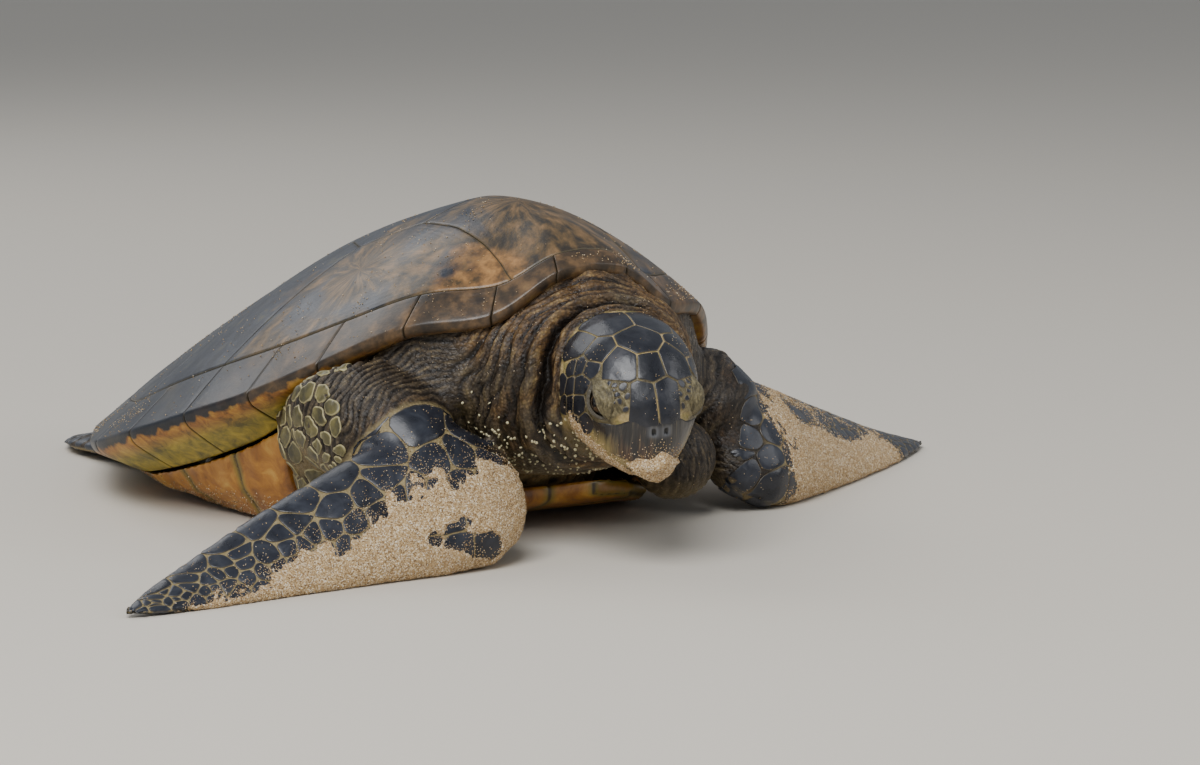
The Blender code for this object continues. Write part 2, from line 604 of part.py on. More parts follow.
def make_body():
    """Neck, limbs, tail and trunk; each is held clear of the one that takes precedence."""
    rims = {}
    for name, sign in (("over_left", 1), ("over_right", -1)):
        side = [rim_section(sign * count, RIM_ROOM) for count in counts_between(-1.0, TAIL_SEAM)]
        rims[name] = add_cutter(name, sweep_mesh(name, side))
    head_cutter = add_cutter("head_room", loft("head_room", head_rings(ROOM)))
    neck = add_object("neck", loft("neck", tube_rings(NECK)), "skin")
    for other in (head_cutter, rims["over_left"], rims["over_right"]):
        cut(neck, other)
    rooms = [add_cutter("neck_room", loft("neck_room", tube_rings(NECK, ROOM)))]
    for side, arm, flipper in (("right", ARM_RIGHT, FLIPPER_RIGHT), ("left", ARM_LEFT, FLIPPER_LEFT)):
        name = f"front_flipper_{side}"
        add_object(name, loft(name, limb_rings(flipper), floor=0.0), "flipper")
        flipper_room = add_cutter(f"{name}_room", loft(name, limb_rings(flipper, ROOM)))
        name = f"upper_arm_{side}"
        upper = add_object(name, loft(name, tube_rings(arm), floor=0.0), "skin")
        for other in (flipper_room, rooms[0], rims[f"over_{side}"]):
            cut(upper, other)
        rooms += [flipper_room, add_cutter(f"{name}_room", loft(name, tube_rings(arm, ROOM)))]
    for side, sign in (("right", -1), ("left", 1)):
        hind = [(sign * x, y, z, sign * cx, cy, cz, thick)
                for x, y, z, cx, cy, cz, thick in HIND_LEFT]
        whole = limb_rings(hind)
        split = THIGH_SHARE
        slit = [point + (other - point).normalized() * GAP
                for point, other in zip(whole[split], whole[split + 1])]
        name = f"thigh_{side}"
        add_object(name, loft(name, whole[:split + 1], floor=0.0), "skin")
        name = f"hind_flipper_{side}"
        add_object(name, loft(name, [slit] + whole[split + 1:], floor=0.0), "flipper")
        rooms.append(add_cutter(f"{name}_room", loft(name, limb_rings(hind, ROOM))))
    add_object("tail", loft("tail", tube_rings(TAIL), floor=0.0), "skin")
    rooms.append(add_cutter("tail_room", loft("tail_room", tube_rings(TAIL, ROOM))))
    trunk = add_object("trunk", trunk_mesh(), "skin")
    for room in rooms:
        cut(trunk, room)


clear_scene()
TURTLE = new_collection("green_sea_turtle")
CUTTERS = new_collection("cutters", hidden=True)
make_scutes()
make_rim()
make_belly()
make_head()
make_body()
bpy.context.view_layer.update()
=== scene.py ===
"""Looks of the green sea turtle: skin, scales, shell plates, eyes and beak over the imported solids.

Metres, +Z up. The turtle faces -Y with its left side at +X, and rests on the floor at z = 0.
"""
import math
from functools import partial

import bmesh
import bpy
import numpy as np
from mathutils import Matrix, Vector
from mathutils.bvhtree import BVHTree
from mathutils.kdtree import KDTree


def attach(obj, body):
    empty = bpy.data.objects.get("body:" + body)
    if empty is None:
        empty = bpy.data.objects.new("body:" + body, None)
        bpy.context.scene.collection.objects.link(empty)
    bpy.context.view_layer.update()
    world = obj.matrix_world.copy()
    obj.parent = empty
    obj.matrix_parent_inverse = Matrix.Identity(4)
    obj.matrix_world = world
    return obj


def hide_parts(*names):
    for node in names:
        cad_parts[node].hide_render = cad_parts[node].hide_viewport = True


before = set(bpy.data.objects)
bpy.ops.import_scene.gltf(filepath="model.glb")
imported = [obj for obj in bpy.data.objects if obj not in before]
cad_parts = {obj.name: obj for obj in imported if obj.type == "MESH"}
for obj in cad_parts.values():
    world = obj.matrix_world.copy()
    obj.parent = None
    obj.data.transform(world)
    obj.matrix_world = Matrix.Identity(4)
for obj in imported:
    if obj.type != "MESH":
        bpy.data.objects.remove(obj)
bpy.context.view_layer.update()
MM = 0.001
UP = np.array([0, 0, 1.0])

# The shell's shape, as its solids have it ---------------------------------------------------------
SEAM = 0.8 * MM
PLATE = 8 * MM  # thickness of the carapace
RIM_EDGE = 12 * MM  # height of the rim's edge, and how far its foot stands in
RIM_LEAN = 3 * MM
SPINE_SHARE = 0.74  # of the rim's y, where the same profile starts on the spine
RIM_SHARE = 0.83  # of the way from the spine to the rim, where the marginals begin
TAIL_SEAM = 12.5  # counts of seams round the rim, from the middle of the nuchal
NUCHAL_SEAM = 0.5
MARGINAL = 0.10  # rough length of a marginal, and of the way from spine to rim
SPINE_TO_RIM = 0.30
# Count of the marginal seam, x, y, z of the rim, roundness of the back, straightness of the flank.
RIM = [
    (0.0, 0.000, -0.450, 0.292, 1.75, 0.90),
    (0.5, 0.042, -0.448, 0.285, 1.75, 0.91),
    (1.5, 0.108, -0.428, 0.244, 1.72, 0.95),
    (2.5, 0.180, -0.375, 0.230, 1.65, 0.98),
    (3.5, 0.239, -0.300, 0.189, 1.70, 1.02),
    (4.5, 0.281, -0.226, 0.153, 1.72, 1.03),
    (5.5, 0.311, -0.138, 0.122, 1.7, 1.05),
    (6.5, 0.328, -0.042, 0.092, 1.6, 1.05),
    (7.5, 0.320, 0.060, 0.066, 1.45, 1.05),
    (8.5, 0.280, 0.160, 0.055, 1.4, 1.05),
    (9.5, 0.226, 0.258, 0.050, 1.4, 1.05),
    (10.5, 0.160, 0.346, 0.049, 1.45, 1.05),
    (11.5, 0.084, 0.416, 0.050, 1.5, 1.00),
    (12.5, 0.000, 0.442, 0.053, 1.5, 1.00),
]
# Height of the back along the spine: y, z.
BACK = [(-0.335, 0.335), (-0.29, 0.344), (-0.24, 0.343), (-0.17, 0.328), (-0.08, 0.303),
        (0.00, 0.276), (0.10, 0.238), (0.20, 0.194), (0.28, 0.154), (0.33, 0.127)]
# Where the underside of the rim ends: count, how far in from the edge, how far below it.
UNDERSIDE = [(0.0, 0.022, 0.000), (2.5, 0.030, 0.000), (3.8, 0.040, 0.012), (5.0, 0.048, 0.034),
             (7.0, 0.050, 0.030), (8.2, 0.046, 0.010), (8.9, 0.040, 0.000), (12.5, 0.030, 0.000)]
BRIDGE_SEAMS = (4.5, 5.42, 6.36, 7.28, 8.2)
# The plastron: y, half width, height of its underside.
PLASTRON = [(-0.362, 0.060, 0.034), (-0.350, 0.112, 0.027), (-0.315, 0.152, 0.016),
            (-0.260, 0.182, 0.004), (-0.200, 0.198, 0.000), (-0.100, 0.212, 0.000),
            (0.000, 0.208, 0.000), (0.090, 0.182, 0.000), (0.160, 0.139, 0.000),
            (0.230, 0.099, 0.000), (0.290, 0.062, 0.002), (0.325, 0.028, 0.008)]
# Seams of the shell seen from above, on the left side: x, y.
VERTEBRAL_SEAMS = [(0.074, -0.232), (0.070, -0.070), (0.062, 0.095), (0.046, 0.245)]
VERTEBRAL_POINTS = [(0.108, -0.150), (0.102, 0.014), (0.086, 0.172)]
VERTEBRAL_ENDS = [(0.078, -0.470), (0.110, 0.470)]
COSTAL_ENDS = [(0.360, -0.118), (0.360, 0.060), (0.330, 0.262)]


# Lowest heights over the floor, of skin and of what is under it.
CLEAR = 0.4 * MM
SUNK_CLEAR = 0.2 * MM


# Numbers ------------------------------------------------------------------------------------------
LATTICE = 32  # swells before the pattern comes round again


def ripple(points, size, seed):
    """Smooth random heights from -1 to 1 at points, in swells of this size in metres."""
    lattice = np.random.RandomState(seed).uniform(-1, 1, (LATTICE, LATTICE, LATTICE))
    place = np.asarray(points) / size
    low = np.floor(place).astype(int)
    part = place - low
    part = part * part * (3 - 2 * part)
    total = 0.0
    for dx, dy, dz in np.ndindex(2, 2, 2):
        weight = (np.abs(1 - dx - part[..., 0]) * np.abs(1 - dy - part[..., 1])
                  * np.abs(1 - dz - part[..., 2]))
        total = total + weight * lattice[(low[..., 0] + dx) % LATTICE,
                                         (low[..., 1] + dy) % LATTICE,
                                         (low[..., 2] + dz) % LATTICE]
    return total


def smooth_step(low, high, value):
    """0 below low, 1 above high, and an even run between them."""
    part = np.clip((value - low) / (high - low), 0, 1)
    return part * part * (3 - 2 * part)


def unit(vectors):
    """Vectors of length 1."""
    return vectors / np.maximum(np.linalg.norm(vectors, axis=-1, keepdims=True), 1e-12)


def read_rows(rows, keys):
    """Values of a table at many keys, on a smooth curve through its rows."""
    rows = np.asarray(rows, float)
    at, values = rows[:, 0], rows[:, 1:]
    lean = np.empty_like(values)
    lean[1:-1] = (values[2:] - values[:-2]) / (at[2:] - at[:-2])[:, None]
    lean[0] = (values[1] - values[0]) / (at[1] - at[0])
    lean[-1] = (values[-1] - values[-2]) / (at[-1] - at[-2])
    keys = np.clip(np.asarray(keys, float), at[0], at[-1])
    low = np.clip(np.searchsorted(at, keys, side="right") - 1, 0, len(at) - 2)
    span = (at[low + 1] - at[low])[..., None]
    part = (keys - at[low])[..., None] / span
    return ((2 * part ** 3 - 3 * part ** 2 + 1) * values[low]
            + (part ** 3 - 2 * part ** 2 + part) * span * lean[low]
            + (3 * part ** 2 - 2 * part ** 3) * values[low + 1]
            + (part ** 3 - part ** 2) * span * lean[low + 1])


def rounded(line, times=2):
    """An open line with its corners cut, its ends kept."""
    line = np.asarray(line, float)
    for _ in range(times):
        near = line[:-1] * 0.75 + line[1:] * 0.25
        far = line[:-1] * 0.25 + line[1:] * 0.75
        inner = np.stack([near, far], 1).reshape(-1, *line.shape[1:])
        line = np.concatenate([line[:1], inner[1:-1], line[-1:]])
    return line


def way_along(line):
    """Way from a line's start to each of its points; line is (points, ..., 2 or 3)."""
    steps = np.linalg.norm(np.diff(line, axis=0), axis=-1)
    return np.concatenate([np.zeros((1,) + steps.shape[1:]), np.cumsum(steps, 0)])


def spaced(line, count):
    """The same line as count evenly spaced points; line is (points, ..., 3)."""
    way = way_along(line).reshape(len(line), -1).mean(1)
    wanted = np.linspace(0, way[-1], count)
    low = np.clip(np.searchsorted(way, wanted, side="right") - 1, 0, len(way) - 2)
    part = ((wanted - way[low]) / np.maximum(way[low + 1] - way[low], 1e-12))
    part = part.reshape((-1,) + (1,) * (line.ndim - 1))
    return line[low] * (1 - part) + line[low + 1] * part


# Outlines in a plane ------------------------------------------------------------------------------
def cut_outline(outline, place, away):
    """The part of a closed outline on the near side of a line; under 3 points it is no outline."""
    if len(outline) < 3:
        return outline
    height = (outline - place) @ away
    after, next_height = np.roll(outline, -1, 0), np.roll(height, -1)
    kept = []
    for here, there, low, high in zip(outline, after, height, next_height):
        if low <= 0:
            kept.append(here)
        if (low <= 0) != (high <= 0):
            kept.append(here + (there - here) * (low / (low - high)))
    return np.array(kept)


def resampled(outline, spacing, least=8):
    """A closed outline as evenly spaced points."""
    closed = np.concatenate([outline, outline[:1]])
    way = way_along(closed)
    count = max(least, round(way[-1] / spacing))
    wanted = np.arange(count) * way[-1] / count
    return np.stack([np.interp(wanted, way, closed[:, i]) for i in (0, 1)], 1)


def softened(outline, times=1):
    """A closed outline with its corners cut."""
    for _ in range(times):
        after = np.roll(outline, -1, 0)
        outline = np.stack([outline * 0.8 + after * 0.2, outline * 0.2 + after * 0.8], 1)
        outline = outline.reshape(-1, 2)
    return outline


def to_border(points, outline):
    """Distance of points to a closed outline."""
    start, along = outline, np.roll(outline, -1, 0) - outline
    length = np.maximum((along ** 2).sum(1), 1e-18)
    best = np.full(len(points), np.inf)
    for a, d, size in zip(start, along, length):
        part = np.clip(((points - a) @ d) / size, 0, 1)
        best = np.minimum(best, np.linalg.norm(points - a - part[:, None] * d, axis=1))
    return best


TINT_STEP = 0.381  # how far the tint moves on from one plate to the next
SCUTE_TINT_STEP = 0.37


# Meshes -------------------------------------------------------------------------------------------
class Body:
    """Points, faces and marks of a piece that is being made."""

    def __init__(self):
        self.points, self.faces, self.marks, self.count, self.flat = [], [], {}, 0, []

    def add(self, points, faces, **marks):
        """Adds points, faces that number them from 0, and their marks."""
        points = np.asarray(points, float).reshape(-1, 3)
        self.faces += [[i + self.count for i in face] for face in faces]
        self.points.append(points)
        for name, values in marks.items():
            values = np.broadcast_to(values, (len(points),) + np.shape(values)[1:])
            self.marks.setdefault(name, []).append(values)
        self.count += len(points)

    def mesh(self, name):
        """All that was added, as a mesh."""
        mesh = bpy.data.meshes.new(name)
        mesh.from_pydata(np.concatenate(self.points).tolist(), [], self.faces)
        for mark, values in self.marks.items():
            write_mark(mesh, mark, np.concatenate(values))
        return mesh


def write_mark(mesh, name, values):
    """Stores one number or three for each vertex, under a name that materials read."""
    values = np.asarray(values, np.float32)
    if values.ndim == 1:
        mesh.attributes.new(name, "FLOAT", "POINT").data.foreach_set("value", values)
    else:
        layer = mesh.attributes.new(name, "FLOAT_VECTOR", "POINT")
        layer.data.foreach_set("vector", values.ravel())


def read_all(items, name, width, kind=float):
    """A property of every vertex, edge or corner, as rows of this width."""
    found = np.empty(len(items) * width, kind)
    items.foreach_get(name, found)
    return found.reshape(-1, width)


def places_of(mesh):
    """Places of a mesh's vertices."""
    return read_all(mesh.vertices, "co", 3)


def normals_of(mesh):
    """Normals of a mesh's vertices."""
    return read_all(mesh.vertex_normals, "vector", 3)


def edges_of(mesh):
    """The two vertices of every edge."""
    return read_all(mesh.edges, "vertices", 2, int)


def grid_faces(rows, columns, closed_rows=False, closed_columns=False, ends=False):
    """Faces of a grid of points; ends closes the two open ends of a tube."""
    faces = []
    for i, j in np.ndindex(rows - (not closed_rows), columns - (not closed_columns)):
        below, beside = (i + 1) % rows * columns, (j + 1) % columns
        faces.append((i * columns + j, i * columns + beside, below + beside, below + j))
    if ends:
        faces += [tuple(range(column, rows * columns, columns)) for column in (0, columns - 1)]
    return faces


def facing(normals, outward):
    """Normals turned over where they point against an outward direction."""
    return normals * np.where((normals * outward).sum(-1, keepdims=True) < 0, -1, 1)


def grid_normals(grid, outward):
    """Unit normals of a grid of points, (rows, columns, 3), on its outward side."""
    return facing(unit(np.cross(np.gradient(grid, axis=0), np.gradient(grid, axis=1))), outward)


def finish_piece(name, mesh, material, nodes=()):
    """Makes a piece of the turtle: it rides on the body, and may stand for CAD nodes."""
    if isinstance(mesh, Body):
        mesh = mesh.mesh(name)
    work = bmesh.new()
    work.from_mesh(mesh)
    bmesh.ops.remove_doubles(work, verts=work.verts, dist=0.000001)
    bmesh.ops.recalc_face_normals(work, faces=work.faces)
    work.to_mesh(mesh)
    work.free()
    mesh.shade_smooth()
    mesh.materials.clear()
    mesh.materials.append(material)
    thing = bpy.data.objects.new(name, mesh)
    bpy.context.scene.collection.objects.link(thing)
    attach(thing, "root")
    if nodes:
        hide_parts(*nodes)


def make_plate(body, outline, middle, place, depth, relief, spacing, rings, tint):
    """Adds a plate: rings of points from its middle to its outline, laid on a surface.

    place turns plane points into surface points and normals; relief gives the height of the top
    from the distance to the border and the points; depth is how thick the plate is.
    """
    edge = resampled(outline, spacing)
    if np.cross(edge[1] - middle, edge[2] - edge[1]) < 0:
        edge = edge[::-1]
    count = len(edge)
    flat = middle + (edge - middle)[None] * np.asarray(rings)[:, None, None]
    flat = np.concatenate([[middle], flat.reshape(-1, 2)])
    away = to_border(flat, edge)
    away[-count:] = 0
    at, normal = place(flat)
    top = at + normal * relief(away, at)[:, None]
    wall = at[-count:] - normal[-count:] * depth
    floor = at[:1] - normal[:1] * depth
    starts = [1 + ring * count for ring in range(len(rings) + 1)]
    faces = [(0, 1 + i, 1 + (i + 1) % count) for i in range(count)]
    faces += [(low + i, high + i, high + (i + 1) % count, low + (i + 1) % count)
              for low, high in zip(starts, starts[1:]) for i in range(count)]
    faces += [(len(top) + count, len(top) + (i + 1) % count, len(top) + i) for i in range(count)]
    ray = flat - middle
    reach = np.linalg.norm(ray, axis=1)
    turn = ray / np.maximum(reach, 1e-9)[:, None]
    growth = np.concatenate([turn, reach[:, None]], 1)
    growth = np.concatenate([growth, growth[-count:], growth[:1]])
    away = np.concatenate([away, np.zeros(count + 1)])
    body.flat.append(np.concatenate([flat, flat[-count:], flat[:1]]))
    body.add(np.concatenate([top, wall, floor]), faces, border=away, growth=growth, tint=tint)


# Finishes -----------------------------------------------------------------------------------------
def colour(code):
    """An sRGB hex colour as linear red, green, blue and 1."""
    channels = [int(code[i:i + 2], 16) / 255 for i in (0, 2, 4)]
    return (*[c / 12.92 if c <= 0.04045 else ((c + 0.055) / 1.055) ** 2.4 for c in channels], 1)


def add_node(tree, kind, inputs=(), out=None, stops=(), **settings):
    """Adds a node with its settings, input values and links, and gives its output."""
    made = tree.nodes.new(kind if "Node" in kind else f"ShaderNode{kind}")
    for name, value in settings.items():
        setattr(made, name, value)
    for _ in stops[2:]:
        made.color_ramp.elements.new(0.5)
    for element, (place, code) in zip(made.color_ramp.elements if stops else (), stops):
        element.position = place
        element.color = colour(code) if isinstance(code, str) else (code, code, code, 1)
    for name, value in inputs.items() if isinstance(inputs, dict) else enumerate(inputs):
        if isinstance(value, bpy.types.NodeSocket):
            tree.links.new(value, made.inputs[name])
        else:
            made.inputs[name].default_value = value
    return made.outputs[out] if out else next((o for o in made.outputs if o.enabled), None)


# The shell ----------------------------------------------------------------------------------------
def rim_at(count):
    """Rim points and profile powers at counts, which are negative on the right side."""
    count = np.asarray(count, float)
    beyond = np.abs(count) > TAIL_SEAM
    count = np.where(beyond, np.copysign(2 * TAIL_SEAM - np.abs(count), -count), count)
    rows = read_rows(RIM, np.abs(count))
    return np.copysign(rows[..., 0], count), rows[..., 1], rows[..., 2], rows[..., 3], rows[..., 4]


def shell_surface(count, share):
    """Points of the carapace's top at counts of the rim and shares of the way out to it."""
    x, y, z, round_power, flank_power = rim_at(count)
    foot_y = y * SPINE_SHARE
    foot_z = read_rows(BACK, foot_y)[..., 0]
    bulge = (1 - np.clip(share, 0, 1) ** round_power) ** flank_power
    return np.stack([x * share, foot_y + (y - foot_y) * share, z + (foot_z - z) * bulge], -1)


def on_shell(count, share, depth=0.0):
    """Points of the carapace: a share of the way from the spine to the rim, some depth inside."""
    count, share = np.broadcast_arrays(np.asarray(count, float), np.asarray(share, float))
    point = shell_surface(count, share)
    near = np.clip(share, 0.03, 0.97)
    outward = shell_surface(count, near + 0.02) - shell_surface(count, near - 0.02)
    along = shell_surface(count + 0.1, near) - shell_surface(count - 0.1, near)
    normal = facing(unit(np.cross(along, outward)), UP)
    return point - normal * np.asarray(depth)[..., None]


def round_rim(count):
    """Counts of the rim, evenly all the way round."""
    return np.linspace(-TAIL_SEAM, TAIL_SEAM, count + 1)[:-1]


def surface_tree(grid, faces):
    """A tree of the faces, for rays and nearest places."""
    return BVHTree.FromPolygons(grid.reshape(-1, 3).tolist(), faces)


def dropped_on(tree, flat, start=0.6):
    """Where plane points, sent straight down, meet a surface, and its normals there."""
    points, normals = np.empty((len(flat), 3)), np.empty((len(flat), 3))
    for i, (x, y) in enumerate(flat.tolist()):
        hit, normal, _, _ = tree.ray_cast(Vector((x, y, start)), Vector(-UP))
        if hit is None:
            hit, normal, _, _ = tree.find_nearest(Vector((x, y, start - 0.15)))
        points[i], normals[i] = hit, normal
    return points, facing(normals, UP)


def seam_warp(flat):
    """Plane points moved a little, so that seams wander as grown ones do."""
    spot = np.concatenate([flat, np.zeros((len(flat), 1))], 1)
    shift = np.stack([ripple(spot, 0.055, 5), ripple(spot, 0.055, 6)], 1) * 3.2 * MM
    shift += np.stack([ripple(spot, 0.018, 7), ripple(spot, 0.018, 8)], 1) * 0.9 * MM
    return shift


def scute_rings(reach):
    """Shares of the way to the border: even steps, then fine ones for the rounded edge."""
    fine = 1 - np.array([6.0, 4.2, 3.0, 2.1, 1.4, 0.8, 0.35, 0.0]) * MM / reach
    even = np.linspace(0, fine[0], max(4, round(reach / (4.2 * MM))))
    return np.concatenate([even[1:], fine[1:]])


def rolled_edge(away, width, depth):
    """How far a scute's edge rolls down near its border; width and depth in millimetres."""
    return np.clip(1 - away / (width * MM), 0, 1) ** 2 * depth * MM


def growth_rings(away, step, reach, height):
    """Rings that follow a scute's border and fade away from it; their sizes in millimetres."""
    phase = away / (step * MM) * 2 * math.pi
    return np.sin(phase) * np.exp(-away / (reach * MM)) * height * MM


def shell_relief(away, at):
    """Height of a scute's top: a rolled edge, growth rings along it and a little swelling."""
    rings = growth_rings(away, 5.5, 18, 0.12)
    swell = ripple(at, 0.050, 11) * 0.55 * MM + ripple(at, 0.017, 12) * 0.14 * MM
    return rings + swell * np.clip(away / (8 * MM), 0, 1) - rolled_edge(away, 3.2, 1.3)


def make_carapace():
    """Vertebral and costal scutes as thin horny plates on the bone, one piece for each solid."""
    grid = on_shell(round_rim(500)[:, None], np.linspace(0, 1, 130)[None])
    dome = surface_tree(grid, grid_faces(500, 130, closed_rows=True))
    border = on_shell(round_rim(1000), RIM_SHARE - SEAM / 2 / SPINE_TO_RIM)[:, :2]

    def place(flat):
        """Points of the dome, and normals, from places in plan."""
        fade = smooth_step(2 * MM, 25 * MM, to_border(flat, border[::4]))
        return dropped_on(dome, flat + seam_warp(flat) * fade[:, None])

    seams, tips = VERTEBRAL_SEAMS, VERTEBRAL_POINTS
    front, rear = VERTEBRAL_ENDS
    halves = [[front, seams[0]], [seams[0], tips[0], seams[1]], [seams[1], tips[1], seams[2]],
              [seams[2], tips[2], seams[3]], [seams[3], rear]]
    plans = {f"vertebral_{i}": half + [(-x, y) for x, y in half[::-1]]
             for i, half in enumerate(halves, 1)}
    corner_front, corner_rear = (0.45, -0.50), (0.45, 0.50)
    costals = [[front, seams[0], tips[0], COSTAL_ENDS[0], corner_front],
               [tips[0], seams[1], tips[1], COSTAL_ENDS[1], COSTAL_ENDS[0]],
               [tips[1], seams[2], tips[2], COSTAL_ENDS[2], COSTAL_ENDS[1]],
               [tips[2], seams[3], rear, corner_rear, COSTAL_ENDS[2]]]
    for i, plan in enumerate(costals, 1):
        plans[f"costal_left_{i}"] = plan
        plans[f"costal_right_{i}"] = [(-x, y) for x, y in plan]
    for number, (name, plan) in enumerate(plans.items()):
        outline, plan = border, np.array(plan)
        centre = plan.mean(0)
        for start, end in zip(plan, np.roll(plan, -1, 0)):
            away = unit(np.array([end[1] - start[1], start[0] - end[0]]))
            away = away if away @ (centre - start) < 0 else -away
            outline = cut_outline(outline, start - away * SEAM / 2, away)
        low, high = outline.min(0), outline.max(0)
        middle = (low + high) / 2
        middle[1] += (high[1] - low[1]) * 0.16
        if "costal" in name:
            middle[0] -= np.sign(middle[0]) * (high[0] - low[0]) * 0.10
        body = Body()
        reach = np.linalg.norm(outline - middle, axis=1).max()
        make_plate(body, outline, middle, place, 2.2 * MM, shell_relief, 3.3 * MM,
                   scute_rings(reach), number * SCUTE_TINT_STEP % 1)
        finish_piece(f"{name}_scute", body, CARAPACE, [name])
    make_bone()


def make_bone():
    """The bone under the scutes: its pale rim fills the seams between them."""
    counts = round_rim(240)[:, None]
    shares = np.linspace(0.0, RIM_SHARE + 0.02, 48)[None]
    top = on_shell(counts, shares, 2.3 * MM)
    low = on_shell(counts, shares[:, ::-1], PLATE - 1 * MM)
    grid = np.concatenate([top, low], 1)
    body = Body()
    body.add(grid, grid_faces(*grid.shape[:2], closed_rows=True))
    finish_piece("shell_bone", body, BONE)


def marginal_sections(counts):
    """Sections of the rim at these counts: (points, counts, 3), over the top and under the edge."""
    inner = RIM_SHARE + SEAM / 2 / SPINE_TO_RIM
    inward_by, below_by = read_rows(UNDERSIDE, np.abs(counts)).T
    edge = on_shell(counts, 1.0)
    spine = on_shell(counts, 0.0)
    inward = unit(np.stack([-edge[:, 0], spine[:, 1] - edge[:, 1], np.zeros(len(counts))], 1))
    lower = edge + inward * RIM_LEAN - UP * RIM_EDGE
    under = lower + inward * inward_by[:, None] - UP * below_by[:, None]
    top = np.stack([on_shell(counts, share) for share in np.linspace(inner, 0.985, 20)])
    turn = np.stack([edge, edge * 0.35 + lower * 0.65 - inward * 0.4 * MM])
    belly = np.stack([lower * (1 - t) + under * t - inward * math.sin(t * math.pi) * 1.5 * MM
                      for t in np.linspace(0.08, 1, 12)])
    face = spaced(rounded(np.concatenate([top, turn, belly]), 2), 44)
    inner_top = on_shell(counts, inner, PLATE * 0.6)
    back = np.stack([under * (1 - t) + inner_top * t + inward * 2 * MM * math.sin(t * math.pi)
                     for t in np.linspace(0, 1, 8)[1:-1]])
    return face, np.concatenate([back, inner_top[None]])


def marginal(body, first, last, tint):
    """One marginal scute: a closed wedge with its seams rolled down."""
    ease = np.linspace(0, 1, 26)
    fine = np.array([0, 0.35, 0.8, 1.4, 2.1, 3.0]) * MM / (MARGINAL * abs(last - first))
    ease = np.concatenate([fine, ease[(ease > fine[-1] * 1.5) & (ease < 1 - fine[-1] * 1.5)],
                           1 - fine[::-1]])
    counts = first + (last - first) * ease
    face, back = marginal_sections(counts)
    normal = grid_normals(face, unit(face - np.concatenate([face, back]).mean(0)))
    along = np.minimum(ease, 1 - ease) * MARGINAL * abs(last - first)
    way = way_along(face)
    away = np.minimum(along[None], np.minimum(way, way[-1:] - way))
    face = face + normal * shell_relief(away, face)[..., None]
    grid = np.concatenate([face, back])
    rows, count = grid.shape[:2]
    faces = grid_faces(rows, count, closed_rows=True, ends=True)
    border = np.concatenate([away, np.zeros(back.shape[:2])])
    middle = grid[len(face) // 2, count // 2]
    ray = grid - middle
    growth = np.concatenate([unit(ray)[..., :2], np.linalg.norm(ray, axis=-1)[..., None]], -1)
    past_edge = np.concatenate([edge_way(face), np.full(back.shape[:2], 0.05)])
    body.add(grid, faces, border=border.ravel(), growth=growth.reshape(-1, 3), tint=tint,
             under=past_edge.ravel())


def edge_way(face):
    """Way past the rim's outermost point, negative on the top side."""
    way = way_along(face)
    outermost = np.linalg.norm(face[..., :2], axis=-1).argmax(0)
    return way - way[outermost, np.arange(face.shape[1])]


def make_rim():
    """The scutes round the rim: the nuchal, and each side's marginals in one piece."""
    half = SEAM / 2 / MARGINAL
    body = Body()
    marginal(body, -NUCHAL_SEAM + half, NUCHAL_SEAM - half, 0.5)
    finish_piece("nuchal_scute", body, MARGINAL_HORN, ["nuchal"])
    for side, sign in (("left", 1), ("right", -1)):
        body = Body()
        for i in range(12):
            start = NUCHAL_SEAM + i
            marginal(body, sign * (start + half), sign * (start + 1 - half),
                     i * SCUTE_TINT_STEP % 1)
        finish_piece(f"marginal_scutes_{side}", body, MARGINAL_HORN,
                     [f"marginals_{side}"])


# The head's own frame -----------------------------------------------------------------------------
HEAD_CENTRE = Vector((-0.006, -0.526, 0.175))
HEAD_YAW = math.radians(-13)
HEAD_PITCH = math.radians(-16)
MOUTH_CORNER = 0.030
MOUTH_RISE = -0.036
MOUTH_SLOPE = math.tan(math.radians(-6))
EYE = np.array([0.051, 0.0395, 0.009])
EYE_RADIUS = 18 * MM
HEAD_TURN = np.array((Matrix.Rotation(HEAD_YAW, 3, "Z") @ Matrix.Rotation(-HEAD_PITCH, 3, "X")))


def in_head(local):
    """World points from the head's own: ahead of its centre, to its left, above."""
    local = np.asarray(local, float)
    return np.stack([local[..., 1], -local[..., 0], local[..., 2]], -1) @ HEAD_TURN.T + HEAD_CENTRE


def head_way(local):
    """Directions, as in_head turns points."""
    return in_head(local) - np.array(HEAD_CENTRE)


def head_local(points):
    """World points in the head's own frame."""
    turned = (np.asarray(points) - np.array(HEAD_CENTRE)) @ HEAD_TURN
    return np.stack([-turned[..., 1], turned[..., 0], turned[..., 2]], -1)


# Flippers: rows of middle, half chord towards the leading edge, half thickness.
FLIPPER_RIGHT = [(-0.094, -0.452, 0.068, 0.000, -0.016, -0.018, 0.014),
                 (-0.108, -0.452, 0.068, 0.000, -0.034, -0.040, 0.031),
                 (-0.145, -0.450, 0.068, 0.000, -0.049, -0.062, 0.043),
                 (-0.200, -0.450, 0.066, 0.000, -0.052, -0.067, 0.042),
                 (-0.260, -0.458, 0.056, 0.000, -0.046, -0.057, 0.032),
                 (-0.330, -0.469, 0.043, 0.004, -0.041, -0.044, 0.022),
                 (-0.400, -0.481, 0.030, 0.008, -0.036, -0.030, 0.015),
                 (-0.460, -0.495, 0.019, 0.010, -0.030, -0.018, 0.010),
                 (-0.515, -0.509, 0.010, 0.011, -0.021, -0.008, 0.007),
                 (-0.550, -0.520, 0.006, 0.007, -0.010, -0.002, 0.004),
                 (-0.560, -0.524, 0.004, 0.003, -0.004, -0.001, 0.002)]
